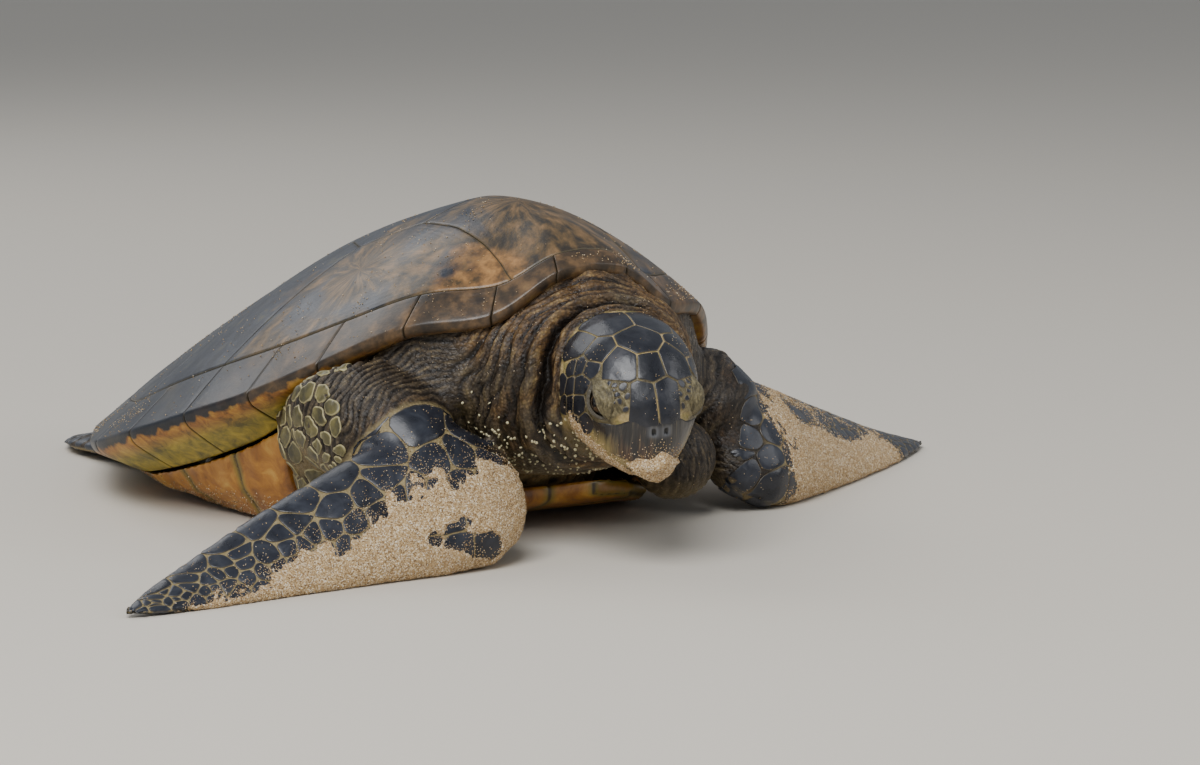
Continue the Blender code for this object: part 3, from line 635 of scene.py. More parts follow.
FLIPPER_LEFT = [(0.212, -0.345, 0.066, -0.004, -0.016, -0.018, 0.014),
                (0.226, -0.342, 0.066, -0.004, -0.034, -0.040, 0.030),
                (0.260, -0.332, 0.066, 0.010, -0.046, -0.061, 0.041),
                (0.310, -0.308, 0.063, 0.014, -0.046, -0.062, 0.038),
                (0.370, -0.276, 0.053, 0.017, -0.042, -0.053, 0.029),
                (0.440, -0.238, 0.041, 0.019, -0.038, -0.042, 0.020),
                (0.510, -0.199, 0.029, 0.019, -0.033, -0.029, 0.014),
                (0.570, -0.166, 0.018, 0.017, -0.027, -0.017, 0.010),
                (0.620, -0.138, 0.010, 0.012, -0.019, -0.008, 0.007),
                (0.650, -0.122, 0.006, 0.007, -0.010, -0.002, 0.004),
                (0.660, -0.117, 0.004, 0.003, -0.004, -0.001, 0.002)]


# The skin -----------------------------------------------------------------------------------------
FLESH = ["head", "lower_jaw", "neck", "trunk", "upper_arm_left", "upper_arm_right",
         "front_flipper_left", "front_flipper_right", "thigh_left", "thigh_right",
         "hind_flipper_left", "hind_flipper_right", "tail"]
FILLINGS = ["beak_upper", "beak_lower", "eye_left", "eye_right"]
# Slack skin of the hollows between arm and bridge, and between throat and left arm: middle and
# half sides.
HOLLOW_FILLINGS = [(side * x, *row) for side in (-1, 1)
                   for x, *row in ((0.196, -0.262, 0.078, 0.046, 0.056, 0.062),
                                   (0.222, -0.262, 0.108, 0.038, 0.048, 0.046))]
HOLLOW_FILLINGS += [(0.152, -0.368, 0.066, 0.050, 0.038, 0.046)]
GROWN = 1.4 * MM  # how far the flesh is grown so that its nodes run together
VOXEL = 3.9 * MM
COAT = 1.3 * MM  # how far the skin is drawn in under its folds
SKIN_KEPT = 0.44  # share of the faces kept where the skin is even
FRONT_OF_TRUNK = -0.215  # the ends of the trunk are skin, and the shell hides what is between
REAR_OF_TRUNK = 0.17
# The folds' steps: across the hood, finer ones between, and round the shoulders.
HOOD_STEP = 9.8 * MM
FINE_STEP = 5.2 * MM
ARC_STEP = 7.6 * MM
# The middle of the neck: y, x, z.
NECK_AXIS = [(-0.507, -0.004, 0.176), (-0.462, 0.002, 0.174), (-0.425, 0.004, 0.168),
             (-0.365, 0.006, 0.163), (-0.300, 0.006, 0.160)]


# What the collar of slack skin runs to, by count on the rim: x, y and z of the neck or arm.
COLLAR_ROOTS = {-1: [(0.0, -0.004, -0.462, 0.214), (1.2, -0.050, -0.430, 0.200),
                     (2.2, -0.120, -0.390, 0.165), (3.2, -0.190, -0.340, 0.145),
                     (4.4, -0.205, -0.290, 0.120)],
                1: [(0.0, 0.004, -0.462, 0.214), (1.2, 0.052, -0.430, 0.200),
                    (2.2, 0.120, -0.385, 0.165), (3.2, 0.200, -0.315, 0.130),
                    (4.4, 0.215, -0.280, 0.105)]}


def collar_beads():
    """Balls of flesh from the rim's lower edge to the neck and arms, with slack skin over them."""
    for side, roots in COLLAR_ROOTS.items():
        counts = np.arange(0, 4.41, 0.2)
        face, back = marginal_sections(side * counts)
        out, down, radius = (0.72, 0.015, 20) if side < 0 else (0.80, 0.005, 25)
        hung = face[-1] * out + back[-1] * (1 - out) - [0, 0, down]
        for i, count in enumerate(counts):
            root = np.array([np.interp(count, [row[0] for row in roots], [row[k] for row in roots])
                             for k in (1, 2, 3)])
            for part in np.linspace(0, 1, 5):
                yield hung[i] * (1 - part) + root * part, (radius + 8 * part) * MM


def grown_nodes(names, by, cuts=None):
    """CAD nodes in one bmesh, each grown a little; cuts gives planes that keep a node's ends."""
    whole = bmesh.new()
    for name in names:
        for cut in (cuts or {}).get(name, [None]):
            work = bmesh.new()
            work.from_mesh(bpy.data.objects[name].data)
            bmesh.ops.remove_doubles(work, verts=work.verts, dist=0.00001)
            if cut:
                bmesh.ops.bisect_plane(work, geom=[*work.verts, *work.edges, *work.faces],
                                       plane_co=(0, cut[0], 0), plane_no=(0, cut[1], 0),
                                       clear_outer=True)
                bmesh.ops.holes_fill(work, edges=[e for e in work.edges if e.is_boundary])
            bmesh.ops.recalc_face_normals(work, faces=work.faces)
            work.normal_update()
            for vertex in work.verts:
                vertex.co += vertex.normal * by
            part = bpy.data.meshes.new("part")
            work.to_mesh(part)
            work.free()
            whole.from_mesh(part)
            bpy.data.meshes.remove(part)
    return whole


def flesh_mesh():
    """The nodes of flesh and the slack between them, which run into one another."""
    whole = grown_nodes(FLESH + FILLINGS, GROWN,
                        {"trunk": [(FRONT_OF_TRUNK, 1), (REAR_OF_TRUNK, -1)]})
    ball = bmesh.new()
    bmesh.ops.create_uvsphere(ball, u_segments=20, v_segments=12, radius=1)
    shell = np.array([vertex.co[:] for vertex in ball.verts])
    faces = [[vertex.index for vertex in face.verts] for face in ball.faces]
    ball.free()
    balls = Body()
    for place, radius in collar_beads():
        balls.add(place + shell * radius, faces)
    for row in HOLLOW_FILLINGS:
        balls.add(np.array(row[:3]) + shell * row[3:], faces)
    whole.from_mesh(balls.mesh("balls"))
    mesh = bpy.data.meshes.new("flesh")
    whole.to_mesh(mesh)
    whole.free()
    return mesh


def evaluated(mesh, kind, given=(), **settings):
    """A mesh as a modifier leaves it; given holds the inputs of a node modifier."""
    thing = bpy.data.objects.new("work", mesh)
    bpy.context.scene.collection.objects.link(thing)
    modifier = thing.modifiers.new("work", kind)
    for name, value in settings.items():
        setattr(modifier, name, value)
    for identifier, value in given:
        modifier[identifier] = value
    graph = bpy.context.evaluated_depsgraph_get()
    result = bpy.data.meshes.new_from_object(thing.evaluated_get(graph))
    bpy.data.objects.remove(thing)
    return result


def relaxed(points, edges, times, share=0.5):
    """Points each drawn towards the middle of their neighbours; share may differ by point."""
    points = points.copy()
    count = np.bincount(edges.ravel(), minlength=len(points))
    for _ in range(times):
        total = np.stack([np.bincount(edges[:, 0], points[edges[:, 1], k], len(points))
                          + np.bincount(edges[:, 1], points[edges[:, 0], k], len(points))
                          for k in range(3)], 1)
        points += (total / count[:, None] - points) * np.broadcast_to(
            np.asarray(share, float).reshape(-1, 1), (len(points), 1))
    return points


def move_points(mesh, points):
    """Puts a mesh's vertices in new places."""
    mesh.vertices.foreach_set("co", np.ascontiguousarray(points, np.float32).ravel())
    mesh.update()


def to_axis(points, axis_rows):
    """Distance of points from a bent axis given as rows of y, x, z."""
    rows = read_rows(axis_rows, points[:, 1])
    return np.hypot(points[:, 0] - rows[:, 0], points[:, 2] - rows[:, 1])


def refine(mesh, wanted):
    """Halves the edges of the faces whose middles are in a wanted region."""
    work = bmesh.new()
    work.from_mesh(mesh)
    middles = np.array([face.calc_center_median()[:] for face in work.faces])
    chosen = wanted(middles)
    edges = {edge for face, take in zip(work.faces, chosen) if take for edge in face.edges}
    bmesh.ops.subdivide_edges(work, edges=list(edges), cuts=1, use_grid_fill=True)
    work.to_mesh(mesh)
    work.free()


def near_head(points):
    """Whether points lie on the head, the throat or the front of the neck."""
    local = head_local(points)
    return ((local[:, 0] > -0.085) & (np.linalg.norm(local, axis=1) < 0.115)
            | (points[:, 1] < -0.36) & (np.abs(points[:, 0]) < 0.125) & (points[:, 2] > 0.085))


def on_shoulders(points):
    """Whether points lie on the right shoulder."""
    return ((points[:, 1] < -0.28) & (points[:, 0] < -0.08) & (points[:, 0] > -0.275)
            & (points[:, 2] > 0.085))


SHOULDER_RIGHT = np.array([-0.150, -0.470, 0.095])
SHOULDER_LEFT = np.array([0.268, -0.340, 0.095])
# Where the hood of loose skin begins behind the head's middle: height share on the head, way back.
HOOD_START = [(-1.0, 0.020), (-0.5, 0.010), (0.0, 0.012), (0.5, 0.028), (1.0, 0.046)]
# The first folds of the hood: way back from its start, height, half breadth.
HOOD_FOLDS = [(0.0, -1.8, 1.6), (6.5, 3.0, 3.4), (14.5, -11.0, 3.2), (23.5, 7.5, 5.0),
              (31.5, -3.6, 2.4)]


def fold(phase, sharp=0.6):
    """Rounded ridges, from -1 in the grooves to 1, as the phase counts them."""
    return np.abs(np.sin(math.pi * phase)) ** sharp * 2 - 1


def on_blades(points):
    """1 on the blades of the front flippers, where scales lie instead of folds."""
    found = np.zeros(len(points))
    for table, sign, start in ((FLIPPER_RIGHT, -1, 0.106), (FLIPPER_LEFT, 1, 0.222)):
        rows = read_rows([(sign * row[0], *row[1:]) for row in table], sign * points[:, 0])
        from_middle = points[:, 1:] - rows[:, :2]
        chord = rows[:, 3:5]
        share = np.abs((from_middle * chord).sum(1)) / (chord ** 2).sum(1)
        found = np.maximum(found, smooth_step(start, start + 0.025, sign * points[:, 0])
                           * (1 - smooth_step(1.05, 1.3, share)))
    return found


def hood_back(points):
    """Way back from the lip of the hood, the height share on the head and the lip's wander."""
    local = head_local(points)
    height_share = local[:, 2] / np.maximum(np.hypot(local[:, 1], local[:, 2]), 1e-6)
    wander = ripple(points, 0.05, 31) * 0.55 + ripple(points, 0.022, 32) * 0.25
    start = np.interp(height_share, *np.transpose(HOOD_START))
    return wander * 2.5 * MM - local[:, 0] - start, height_share, wander


def make_skin():
    """The skin, from the grown flesh: evened out, drawn in to the coat's depth and folded."""
    mesh = evaluated(flesh_mesh(), "REMESH", mode="VOXEL", voxel_size=VOXEL)
    move_points(mesh, relaxed(places_of(mesh), edges_of(mesh), 7))
    refine(mesh, lambda middles: near_head(middles) | on_shoulders(middles))
    move_points(mesh, relaxed(places_of(mesh), edges_of(mesh), 5))
    points = places_of(mesh) - normals_of(mesh) * (GROWN + COAT)
    move_points(mesh, points)
    normals = normals_of(mesh)
    local = head_local(points)
    behind = -local[:, 0]
    back, height_share, wander = hood_back(points)
    near = 1 - smooth_step(0.125, 0.16, to_axis(points, NECK_AXIS))
    on_head = 1 - smooth_step(-1.5 * MM, 1.0 * MM, back)
    on_head *= 1 - smooth_step(0.105, 0.115, np.linalg.norm(local, axis=1))
    hood = smooth_step(-1 * MM, 2 * MM, back) * (1 - smooth_step(0.19, 0.24, behind)) * near
    loose = hood * (0.45 + 0.55 * smooth_step(-0.8, -0.2, height_share))
    rise = sum(high * MM * np.exp(-((back - at * MM) / (wide * MM)) ** 2)
               for at, high, wide in HOOD_FOLDS) * loose
    # This mark follows the height of the folds; the skin's colour uses it for painted shade in the
    # grooves and a painted highlight on the ridges.
    ridge = rise / (4 * MM)
    later = smooth_step(32 * MM, 40 * MM, back) * loose
    folds = fold(back / HOOD_STEP + wander * 1.5)
    rise += folds * (2.3 + 1.2 * ripple(points, 0.04, 33)) * MM * later
    ridge += folds * later
    fine = fold(back / FINE_STEP + ripple(points, 0.03, 34) * 1.6, 0.8)
    near_lip = 1 - smooth_step(16 * MM, 22 * MM, back)
    rise += fine * (0.9 + 0.3 * near_lip) * MM * hood
    ridge += fine * (0.60 + 0.2 * near_lip) * hood
    right = np.linalg.norm((points - SHOULDER_RIGHT) * np.array([1, 1, 1.15]), axis=1)
    left = np.linalg.norm(points - SHOULDER_LEFT, axis=1)
    shoulder = np.minimum(right, left)
    on_arm = (smooth_step(0.045, 0.070, shoulder) * (1 - smooth_step(0.24, 0.29, shoulder))
              * (1 - hood) * (1 - on_head) * (1 - on_blades(points))
              * np.maximum(smooth_step(0.05, 0.11, np.abs(points[:, 0])), 0.35))
    arcs = fold(shoulder / ARC_STEP + ripple(points, 0.045, 35) * 1.6
                + ripple(points, 0.016, 36) * 0.6, 0.7)
    arc_height = (1.15 + 0.7 * ripple(points, 0.05, 37)) * MM
    rise += arcs * arc_height * on_arm
    ridge += arcs * on_arm
    rise += ripple(points, 0.012, 38) * 0.35 * MM * (1 - on_head)
    points = points + normals * rise[:, None]
    points[:, 2] = np.maximum(points[:, 2], CLEAR)
    past_root = np.where(points[:, 0] < 0, smooth_step(0.128, 0.145, -points[:, 0]),
                         smooth_step(0.262, 0.278, points[:, 0]))
    for name, values in {
            "way_back": np.stack([behind, points[:, 0], points[:, 2]], 1),
            "way_out": np.stack([shoulder, points[:, 0], points[:, 2]], 1),
            "ridge": ridge, "hood": hood, "arm": on_arm,
            "blade": smooth_step(0.7, 1.0, on_blades(points)) * past_root,
            "head": on_head * (0.2 + 0.8 * smooth_step(-0.052, -0.036, local[:, 2]))}.items():
        write_mark(mesh, name, values)
    move_points(mesh, points)
    return evaluated(mesh, "DECIMATE", ratio=SKIN_KEPT)


# Eyes and lids ------------------------------------------------------------------------------------
LID = 2.2 * MM  # how far the lids stand over the eyeball
SLIT_LONG = math.radians(54)  # half openings of the slit along it, to its rear and its front
SLIT_REAR = math.radians(29)
SLIT_FRONT = math.radians(6)
LID_BLEND = 11 * MM  # reach of the soft run from lids to skin
LID_RING = math.radians(70)  # where the lids end


def eye_frame(side):
    """Middle of the eye and three directions: where it looks, along its slit and to its rear."""
    centre = in_head([EYE[0], side * EYE[1], EYE[2]])
    look = unit(head_way([0.33, side * 0.91, 0.22]))
    along = head_way([0.76, -side * 0.12, -0.64])
    along = unit(along - look * (along @ look))
    rear = np.cross(look, along) * side
    return centre, look, along, rear


def turned_from(look, along, rear, rho, phi):
    """Directions a turn rho away from the look, towards phi round it."""
    rho, phi = rho[..., None], phi[..., None]
    return look * np.cos(rho) + (along * np.cos(phi) + rear * np.sin(phi)) * np.sin(rho)


def blended(first, second, reach):
    """The larger of two values, with a soft run from one into the other."""
    near = np.maximum(reach - np.abs(first - second), 0)
    return np.maximum(first, second) + near * near / (4 * reach)


def slit_edge(phi):
    """Turn from the look direction to the lids' edge; phi is 0 along the slit, 90 to the rear."""
    wide = np.where(np.sin(phi) > 0, SLIT_REAR, SLIT_FRONT)
    return ((np.abs(np.cos(phi)) / SLIT_LONG) ** 1.7
            + (np.abs(np.sin(phi)) / wide) ** 1.7) ** (-1 / 1.7)


def lid_share(from_rim, phi):
    """How far a place belongs to the lids: they reach farther in front of the slit than behind."""
    reach = np.where(np.sin(phi) > 0, 10.0, 10.0 - 24.0 * np.sin(phi)) * MM
    return 1 - smooth_step(reach, reach + 3 * MM, from_rim)


def lid_height(rho, phi, place):
    """Folds of the lids over their even dome."""
    from_rim = (rho - slit_edge(phi)) * EYE_RADIUS
    creases = from_rim / (3.0 * MM) + ripple(place, 0.012, 41) * 1.1
    height = fold(creases, 0.7) * 0.34 * MM * smooth_step(2 * MM, 5 * MM, from_rim)
    height = height * lid_share(from_rim - 2 * MM, phi)
    height += 0.55 * MM * np.exp(-((from_rim - 1.6 * MM) / (1.1 * MM)) ** 2)
    rear = smooth_step(-0.2, 0.5, np.sin(phi))
    fold_place = (from_rim - 6.5 * MM) / (1.1 * MM)
    return height - 0.9 * MM * np.exp(-fold_place ** 2) * rear


def raised_for_eyes(points, sink):
    """Skin points lifted over the eyes in a soft dome; sink draws them in where the lids lie."""
    eyelid = np.zeros(len(points))
    for side in (-1, 1):
        centre, look, along, rear = eye_frame(side)
        ray = points - centre
        reach = np.linalg.norm(ray, axis=1)
        way = unit(ray)
        rho = np.arccos(np.clip(way @ look, -1, 1))
        phi = np.arctan2(way @ rear, way @ along)
        close = (1 - smooth_step(math.radians(95), math.radians(125), rho)) * (reach < 0.06)
        dome = blended(EYE_RADIUS + LID, reach, LID_BLEND) + lid_height(rho, phi, points)
        dome = np.minimum(dome, reach + 0.020)
        if sink:
            inner = 1 - smooth_step(LID_RING - math.radians(20), LID_RING - math.radians(5), rho)
            dome = dome + (np.minimum(dome, EYE_RADIUS - 3 * MM) - dome) * inner
        points = points + way * ((dome - reach) * close)[:, None]
        share = lid_share((rho - slit_edge(phi)) * EYE_RADIUS, phi)
        eyelid = np.maximum(eyelid, share * (reach < 0.06))
    return points, eyelid


def make_lids(bare_tree):
    """Heavy lids: rings of folds from the slit out over the eye, running into the skin round it."""
    body = Body()
    turns, steps = 128, 40
    for side in (-1, 1):
        centre, look, along, rear = eye_frame(side)
        phi = np.arange(turns) / turns * 2 * math.pi
        opening = slit_edge(phi)
        part = np.concatenate([np.linspace(0, 0.12, 8)[:-1], np.linspace(0.12, 1, steps - 7)])
        rho = opening[None] + (LID_RING - opening[None]) * part[:, None]
        turn = np.broadcast_to(phi[None], rho.shape)
        way = turned_from(look, along, rear, rho, turn)
        to_skin = np.empty(rho.shape)
        for at in np.ndindex(rho.shape):
            hit = bare_tree.ray_cast(Vector(centre), Vector(way[at]))[3]
            to_skin[at] = hit if hit is not None else EYE_RADIUS
        from_rim = (rho - opening[None]) * EYE_RADIUS
        dome = blended(EYE_RADIUS + LID, to_skin, LID_BLEND)
        place = centre + way * dome[..., None]
        rounded_edge = LID * 0.65 * (1 - smooth_step(0, 2.0 * MM, from_rim))
        outer = smooth_step(0.86, 1.0, part)[:, None]
        high = dome + lid_height(rho, turn, place) - rounded_edge + 0.15 * MM - outer * 1.2 * MM
        top = centre + way * high[..., None]
        low = np.minimum(high - 1.2 * MM, EYE_RADIUS + 0.5 * MM)
        low[0] = EYE_RADIUS + 0.2 * MM
        under = centre + way * low[..., None]
        grid = np.concatenate([top, under[::-1]])
        faces = grid_faces(len(grid), turns, closed_rows=True, closed_columns=True)
        share = lid_share(from_rim, turn)
        share = np.concatenate([share, share[::-1]]).ravel()
        from_rim = np.concatenate([from_rim, from_rim[::-1]]).ravel()
        lie = np.stack([from_rim, np.zeros_like(from_rim), np.tile(phi * 0.02, len(grid))], 1)
        body.add(grid, faces, lid=share, ridge=0.0, head=1.0, way_back=lie, way_out=lie,
                 rim=1 - smooth_step(1.2 * MM, 2.6 * MM, from_rim))
    return body.mesh("lids")


def make_eyes():
    """The eyeballs, with the cornea's low dome over where they look."""
    for side, name in ((-1, "right"), (1, "left")):
        centre, look, along, across = eye_frame(side)
        body = Body()
        turns, steps = 64, 40
        phi = np.arange(turns) / turns * 2 * math.pi
        rho = np.linspace(0, math.pi, steps)[1:-1]
        way = turned_from(look, along, across, rho[:, None], phi[None])
        cornea = 0.9 * MM * np.exp(-(rho / 0.45) ** 2)
        grid = centre + way * (EYE_RADIUS - 0.3 * MM + cornea)[:, None, None]
        rings = len(rho)
        faces = grid_faces(rings, turns, closed_columns=True)
        poles = np.array([centre + look * (EYE_RADIUS + 0.6 * MM),
                          centre - look * (EYE_RADIUS - 0.3 * MM)])
        faces += [(rings * turns, (i + 1) % turns, i) for i in range(turns)]
        last = (rings - 1) * turns
        faces += [(rings * turns + 1, last + i, last + (i + 1) % turns) for i in range(turns)]
        turn = np.concatenate([np.repeat(rho, turns), [0, math.pi]])
        body.add(np.concatenate([grid.reshape(-1, 3), poles]), faces, turn=turn)
        finish_piece(f"eyeball_{name}", body, EYE_FINISH, [f"eye_{name}"])


# Plastron and bridges -----------------------------------------------------------------------------
# Seams across the plastron: y at the midline, and how far back they run at its side.
PLASTRON_SEAMS = [(-0.318, -0.030), (-0.232, 0.022), (-0.092, -0.010), (0.052, 0.018),
                  (0.168, -0.014), (0.258, -0.020)]
BELLY_VOXEL = 3.6 * MM
BELLY_GROWN = 1.2 * MM


def make_belly():
    """Plastron and bridges as one bony plate with horny scutes, their seams sunk between them."""
    nodes = ["plastron", "bridge_left", "bridge_right"]
    whole = grown_nodes(nodes, BELLY_GROWN)
    solid = bpy.data.meshes.new("belly")
    whole.to_mesh(solid)
    whole.free()
    mesh = evaluated(solid, "REMESH", mode="VOXEL", voxel_size=BELLY_VOXEL)
    move_points(mesh, relaxed(places_of(mesh), edges_of(mesh), 5))
    points, normals = places_of(mesh), normals_of(mesh)
    wander = ripple(points, 0.05, 24) * 3.0 * MM + ripple(points, 0.018, 25) * 1.2 * MM
    across, y = np.abs(points[:, 0]), points[:, 1]
    rows = np.array(PLASTRON)
    half = np.interp(y, rows[:, 0], rows[:, 1])
    on_bridge = across > half - 4 * MM
    away = np.abs(across - half + 3 * MM + wander * 0.6)
    away = np.minimum(away, np.where(on_bridge, 1.0, np.abs(points[:, 0] + wander)))
    for middle, lean in PLASTRON_SEAMS:
        seam = middle + lean * (across / np.maximum(half, 0.03)) ** 2
        away = np.minimum(away, np.where(on_bridge, 1.0, np.abs(y - seam + wander)))
    rim = np.array(RIM)
    count = np.interp(y, rim[3:12, 2], rim[3:12, 0])
    for seam in BRIDGE_SEAMS[1:-1]:
        away = np.minimum(away, np.where(on_bridge, np.abs(count - seam) * MARGINAL + wander * 0.3,
                                         1.0))
    away = np.maximum(away, 0)
    high = (growth_rings(away, 6, 22, 0.14) + ripple(points, 0.045, 26) * 0.5 * MM
            - rolled_edge(away, 5, 1.8) - BELLY_GROWN)
    points = points + normals * high[:, None]
    points[:, 2] = np.maximum(points[:, 2], SUNK_CLEAR)
    move_points(mesh, points)
    write_mark(mesh, "border", away)
    finish_piece("belly_scutes", mesh, BELLY_HORN, nodes)


# Plates and scales --------------------------------------------------------------------------------
def point_tree(points):
    """A tree that finds the nearest of many points."""
    tree = KDTree(len(points))
    for i, point in enumerate(points):
        tree.insert(point, i)
    tree.balance()
    return tree


def cells(sites, weights, gap, size):
    """Outlines of the cells round plane sites, larger for a larger weight, a gap apart."""
    outlines = []
    for i, site in enumerate(sites):
        outline = site + np.array([(-size, -size), (size, -size), (size, size), (-size, size)])
        order = np.argsort(((sites - site) ** 2).sum(1))[1:18]
        for j in order:
            way = sites[j] - site
            far = way @ way
            middle = site + way * (far + weights[i] - weights[j]) / (2 * far)
            outline = cut_outline(outline, middle - way / math.sqrt(far) * gap / 2, way)
        outlines.append(outline)
    return outlines


def nearest_on(tree, points):
    """The nearest places of a surface to points, and its normals there."""
    places, normals = np.empty_like(points), np.empty_like(points)
    for i, point in enumerate(points):
        places[i], normals[i] = tree.find_nearest(Vector(point))[:2]
    return places, normals


def plate_relief(height, edge_width, seed, roughness=0.2 * MM):
    """Height over the skin: a bevelled rim, a nearly flat top, small unevenness."""
    def relief(away, at):
        """Height at distances from the border and at places."""
        part = np.clip(away / edge_width, 0, 1)
        uneven = ripple(at, 9 * MM, seed) * roughness + ripple(at, 24 * MM, seed + 1) * roughness
        return height * (0.25 + 0.75 * np.sqrt(1 - (1 - part) ** 2)) + uneven * part

    return relief


def plate_rings(reach, step, edge_width):
    """Shares of the way to a plate's border, finer over its bevelled edge."""
    fine = np.array([1.0, 0.6, 0.3, 0.1, 0.0]) * edge_width / reach
    fine = 1 - fine[fine < 0.6]
    return np.concatenate([np.linspace(0, fine[0], max(3, round(reach / step)))[1:], fine[1:]])


# The head's chart: the direction of its middle, the one up the chart, and metres to a radian.
HEAD_POLE = np.array([0.6, 0.0, 0.8])
HEAD_BACK = np.array([-0.8, 0.0, 0.6])
HEAD_SPAN = 0.080


def head_chart(local):
    """Plane places of points of the head: left of the midline, and up towards the nape."""
    way = unit(np.asarray(local, float))
    turn = np.arccos(np.clip(way @ HEAD_POLE, -1, 1))
    flat = np.stack([way[..., 1], way @ HEAD_BACK], -1)
    return unit(flat) * turn[..., None] * HEAD_SPAN


def head_place(flat):
    """Points of the skin of the head, and normals, from plane places."""
    turn = np.linalg.norm(flat, axis=1) / HEAD_SPAN
    side = unit(flat)
    way = (HEAD_POLE * np.cos(turn)[:, None]
           + (np.array([0, 1.0, 0]) * side[:, :1] + HEAD_BACK * side[:, 1:])
           * np.sin(turn)[:, None])
    world = head_way(way)
    places, normals = np.empty_like(world), np.empty_like(world)
    start = Vector(HEAD_CENTRE)
    for i, ray in enumerate(world):
        hit, normal, _, _ = BARE_HEAD.ray_cast(start + Vector(ray) * 0.16, Vector(-ray))
        places[i], normals[i] = (hit, normal) if hit else (start + Vector(ray) * 0.06, ray)
    under_hood = smooth_step(-1.5 * MM, 1.5 * MM, hood_back(places)[0]) * 6 * MM
    return places - normals * under_hood[:, None], normals


# Plates of the head: place ahead, aside and above, weight, farthest border; those of the midline
# come once, the others on both sides.
MIDDLE_PLATES = [(0.056, -0.002, 0.052, -0.00010, 30), (0.026, -0.005, 0.065, 0.00016, 34)]
SIDE_PLATES = [
    (0.080, 0.0155, 0.016, 0.00016, 30),     # prefrontal
    (0.050, 0.032, 0.050, 0.00010, 29),      # supraocular
    (-0.016, 0.025, 0.068, 0.00034, 46),     # parietal
    (0.020, 0.046, 0.053, 0.00002, 28),      # upper temple
    (-0.008, 0.056, 0.045, 0.00008, 34),     # rear temple
    (0.031, 0.056, 0.036, -0.00006, 14),     # small plates over the eye's rear corner
    (0.016, 0.062, 0.034, -0.00006, 14),
    (0.003, 0.066, 0.028, -0.00006, 14),
    (0.027, 0.062, 0.018, -0.00002, 17),     # behind the eye
    (0.031, 0.064, -0.004, 0.00000, 17),
    (0.042, 0.060, -0.020, 0.00004, 18),     # under the eye
    (0.010, 0.070, 0.012, -0.00002, 16),     # cheek
    (0.016, 0.069, -0.010, -0.00002, 16),
    (0.024, 0.066, -0.028, -0.00004, 15),
    (-0.006, 0.072, 0.006, -0.00004, 20),
    (0.001, 0.071, -0.014, -0.00004, 20),
]
# Bare places that hold the plates back: the eye, the beak, the nape and the throat.
BARE_PLACES = [(0.064, 0.042, 0.010, 0.00044), (0.088, 0.012, -0.020, 0.0),
               (0.082, 0.032, -0.016, 0.0), (0.066, 0.045, -0.020, 0.0),
               (0.056, 0.050, -0.030, 0.0), (0.044, 0.054, -0.040, 0.0),
               (0.030, 0.058, -0.046, 0.0), (0.010, 0.062, -0.040, 0.0),
               (-0.022, 0.068, -0.022, 0.0), (-0.030, 0.068, 0.004, 0.0),
               (-0.054, 0.062, 0.028, 0.0), (-0.078, 0.050, 0.050, 0.0),
               (-0.080, 0.020, 0.060, 0.0)]


def make_head_plates():
    """The horny plates of the head: thin raised shields with a seam between them."""
    rows = [(*row, True) for row in MIDDLE_PLATES]
    for *row, weight, reach in SIDE_PLATES:
        for sign in (1, -1):
            shift = 1.4 * MM * math.sin(len(rows) * 2.3)
            rows.append((row[0] + shift, sign * row[1], row[2] - shift, weight, reach, True))
    for a, s, h, w in BARE_PLACES:
        rows += [(a, s, h, w, 0, False), (a, -s, h, w, 0, False)]
    sites = head_chart([row[:3] for row in rows])
    weights = np.array([row[3] for row in rows])
    body = Body()
    outlines = cells(sites, weights, 1.2 * MM, 60 * MM)
    for i, (row, site, outline) in enumerate(zip(rows, sites, outlines)):
        if not row[5]:
            continue
        for turn in np.arange(12) / 12 * 2 * math.pi:
            way = np.array([math.cos(turn), math.sin(turn)])
            outline = cut_outline(outline, site + way * row[4] * MM, way)
        if len(outline) < 3:
            continue
        outline = softened(resampled(outline, 2.0 * MM), 1)
        middle = outline.mean(0)
        reach = np.linalg.norm(outline - middle, axis=1).max()
        make_plate(body, outline, middle, head_place, 1.0 * MM,
                   plate_relief(0.9 * MM, 1.5 * MM, 51), 1.4 * MM,
                   plate_rings(reach, 1.8 * MM, 1.5 * MM), i * TINT_STEP % 1)
    mesh = body.mesh("head_plates")
    lay_map(mesh, head_map(places_of(mesh)))
    finish_piece("head_plates", mesh, PLATE_HORN)


def lay_map(mesh, places):
    """Gives a coat piece its map: every corner lies at its place on the skin's own unwrap."""
    layer = mesh.uv_layers.new(name="OFBake")
    corner = read_all(mesh.loops, "vertex_index", 1, int)[:, 0]
    layer.uv.foreach_set("vector", np.clip(places, 0, 1)[corner].astype(np.float32).ravel())


